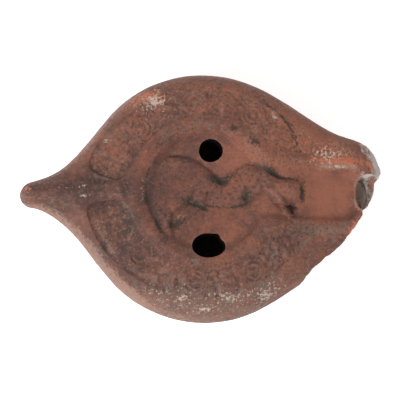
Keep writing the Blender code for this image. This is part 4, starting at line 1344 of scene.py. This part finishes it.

# %% [markdown]
# Dark earth stays in the deepest places of the relief: behind the foreleg, at the groin, along the nape
# and the muzzle, beside the hind foot and under the rump, and in the line that bounds the stamped field
# above the nozzle. Elsewhere only a trace follows the hollows of the mesh. The same value carries
# painted shade: thin dark arcs on the left and upper left of the disc's recess wall, where it faces away
# from the light, partly dirt as well on the left. Negative amounts paint light over spots where the
# lower left recess wall and the lower channel wall fall in shade.

# %% Dirt and painted shade
# Negative amounts here are painted light over shaded walls; the rest is dirt.
DIRT_AND_SHADE_PLACES = (
    (-10.5, 11.9, 4.6, 0.7, 0, 0.8), (3.9, 3.9, 4.2, 1.9, -8, 0.95), (1, 5.2, 3.4, 2, -20, 0.42),
    (8.9, 6, 4.6, 1.1, 36, 0.66), (20.4, 7.4, 3, 1, -22, 0.85), (23.6, 5.8, 2.8, 1.1, -35, 0.85),
    (27, 5.4, 4.4, 0.7, -4, 0.6), (31.9, 1.2, 1.1, 4.2, 0, 0.9), (31.6, 0.2, 1.2, 1.8, 0, 0.4),
    (28.4, -4.1, 1.6, 1.4, 0, 0.95), (28.2, -6.2, 1.9, 2.4, 0, 0.45),
    (13.1, -1.3, 2.6, 3.2, -15, 0.95), (-5.4, -3.2, 3.4, 2.5, 0, 0.9),
    (-1.8, -5.2, 4.2, 0.8, -22, 0.75), (-16.4, -10.9, 1.2, 2.6, 14, 1.05),
    (-18.6, -7.4, 1.8, 1.3, 0, -0.6), (-15.2, -14.4, 2.4, 0.8, -50, 0.85),
    (-10.6, -11, 3.6, 2.6, 10, 0.88), (-6, -8.6, 5, 2, 25, 0.34), (8.4, 21.4, 1.4, 1.2, 0, 1.15),
    (15.4, 17, 2.4, 1.4, -30, 1), (-33.6, -17.8, 1.5, 4.4, -18, 0.85),
    (-26.4, -12, 1.1, 2.2, 0, 0.5), (31.2, -29, 2, 1.8, 0, 0.85), (-33, 2.8, 5.6, 0.7, -14, 0.3),
    (-50, 1.2, 12, 1.6, 0, 0.26), (-36, -1, 6, 2.6, 0, 0.24), (18.5, 9.4, 6, 2, 0, 0.3),
    (47.6, -2, 1.4, 7, 0, 0.4), (20, -14, 14, 8, 0, 0.14), (36, -11.5, 13, 2, 0, 0.34),
    (20.2, 30.2, 3.6, 0.7, -37, 0.76), (25.2, 25.7, 3.6, 0.6, -53, 0.62),
    (28.6, 20, 3.6, 0.7, -62, 0.76), (-16.5, -14.5, 6, 1.4, -48, -0.4),
    (-13.5, -18, 5, 1.6, -35, -0.6), (41.5, 14, 7, 2.6, -6, 0.46), (38, -8.3, 17, 1.4, 0, -0.25),
)
belly = outline * ease(-2.0, -4.0, y_mm) * ease(-3.0, 1.0, x_mm) * ease(14.0, 11.0, x_mm)
back = outline * ease(3.0, 5.0, y_mm) * ease(14.0, 18.0, x_mm)
hollow_share = 0.26 + 0.16 * field - 0.14 * floor_area
dirt_and_shade_paint = 1.15 * patches(DIRT_AND_SHADE_PLACES) * up - 0.12 * floor_area - 0.10 * channel_area
# The three arcs are painted shade on the disc's recess wall; the two on the left are partly dirt as
# well.
for at_radius, half, first, last, amount in (
    (20.6, 0.8, -180.0, -168.0, 1.10),
    (20.6, 0.6, 156.0, 180.0, 0.85),
    (21.6, 0.45, 99.0, 130.0, 0.45),
):
    dirt_and_shade_paint = dirt_and_shade_paint + amount * arc(at_radius, half, first, last) * up
dirt_and_shade_paint = dirt_and_shade_paint + 0.40 * arc(35.7, 0.6, 31.0, 58.0)
dirt_and_shade_paint = dirt_and_shade_paint + 0.80 * belly + 0.24 * back + 0.05 * outline
save_paint("dirt_and_painted_shade", dirt_and_shade_paint + hollow_share * np.clip(hollow_paint, 0.0, 1.0))
print("painted", [layer.name for layer in lamp.data.attributes if layer.data_type == "FLOAT"])

# %% [markdown]
# ## The floor's finish
# The floor is a smooth, almost white sheet whose material glows a little, like a light table. The glow
# is painted light: it washes out the lamp's shadow and brightens the walls from below.

# %% The floor's finish
glowing_floor_material, tree, sockets = new_material("glowing_pale_floor", 0.95)
tint = mix(noise_at(tree, 40.0, 3.0, 0.5, W=0.0), (0.90, 0.90, 0.90), (0.93, 0.93, 0.93))
fill(sockets["Base Color"], tint)
sockets["Emission Color"].default_value = (1.0, 1.0, 1.0, 1.0)
sockets["Emission Strength"].default_value = FLOOR_GLOW
floor.data.materials.append(glowing_floor_material)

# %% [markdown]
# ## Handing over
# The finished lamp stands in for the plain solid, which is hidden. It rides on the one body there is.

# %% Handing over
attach(lamp, "root")
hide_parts("lamp_body")
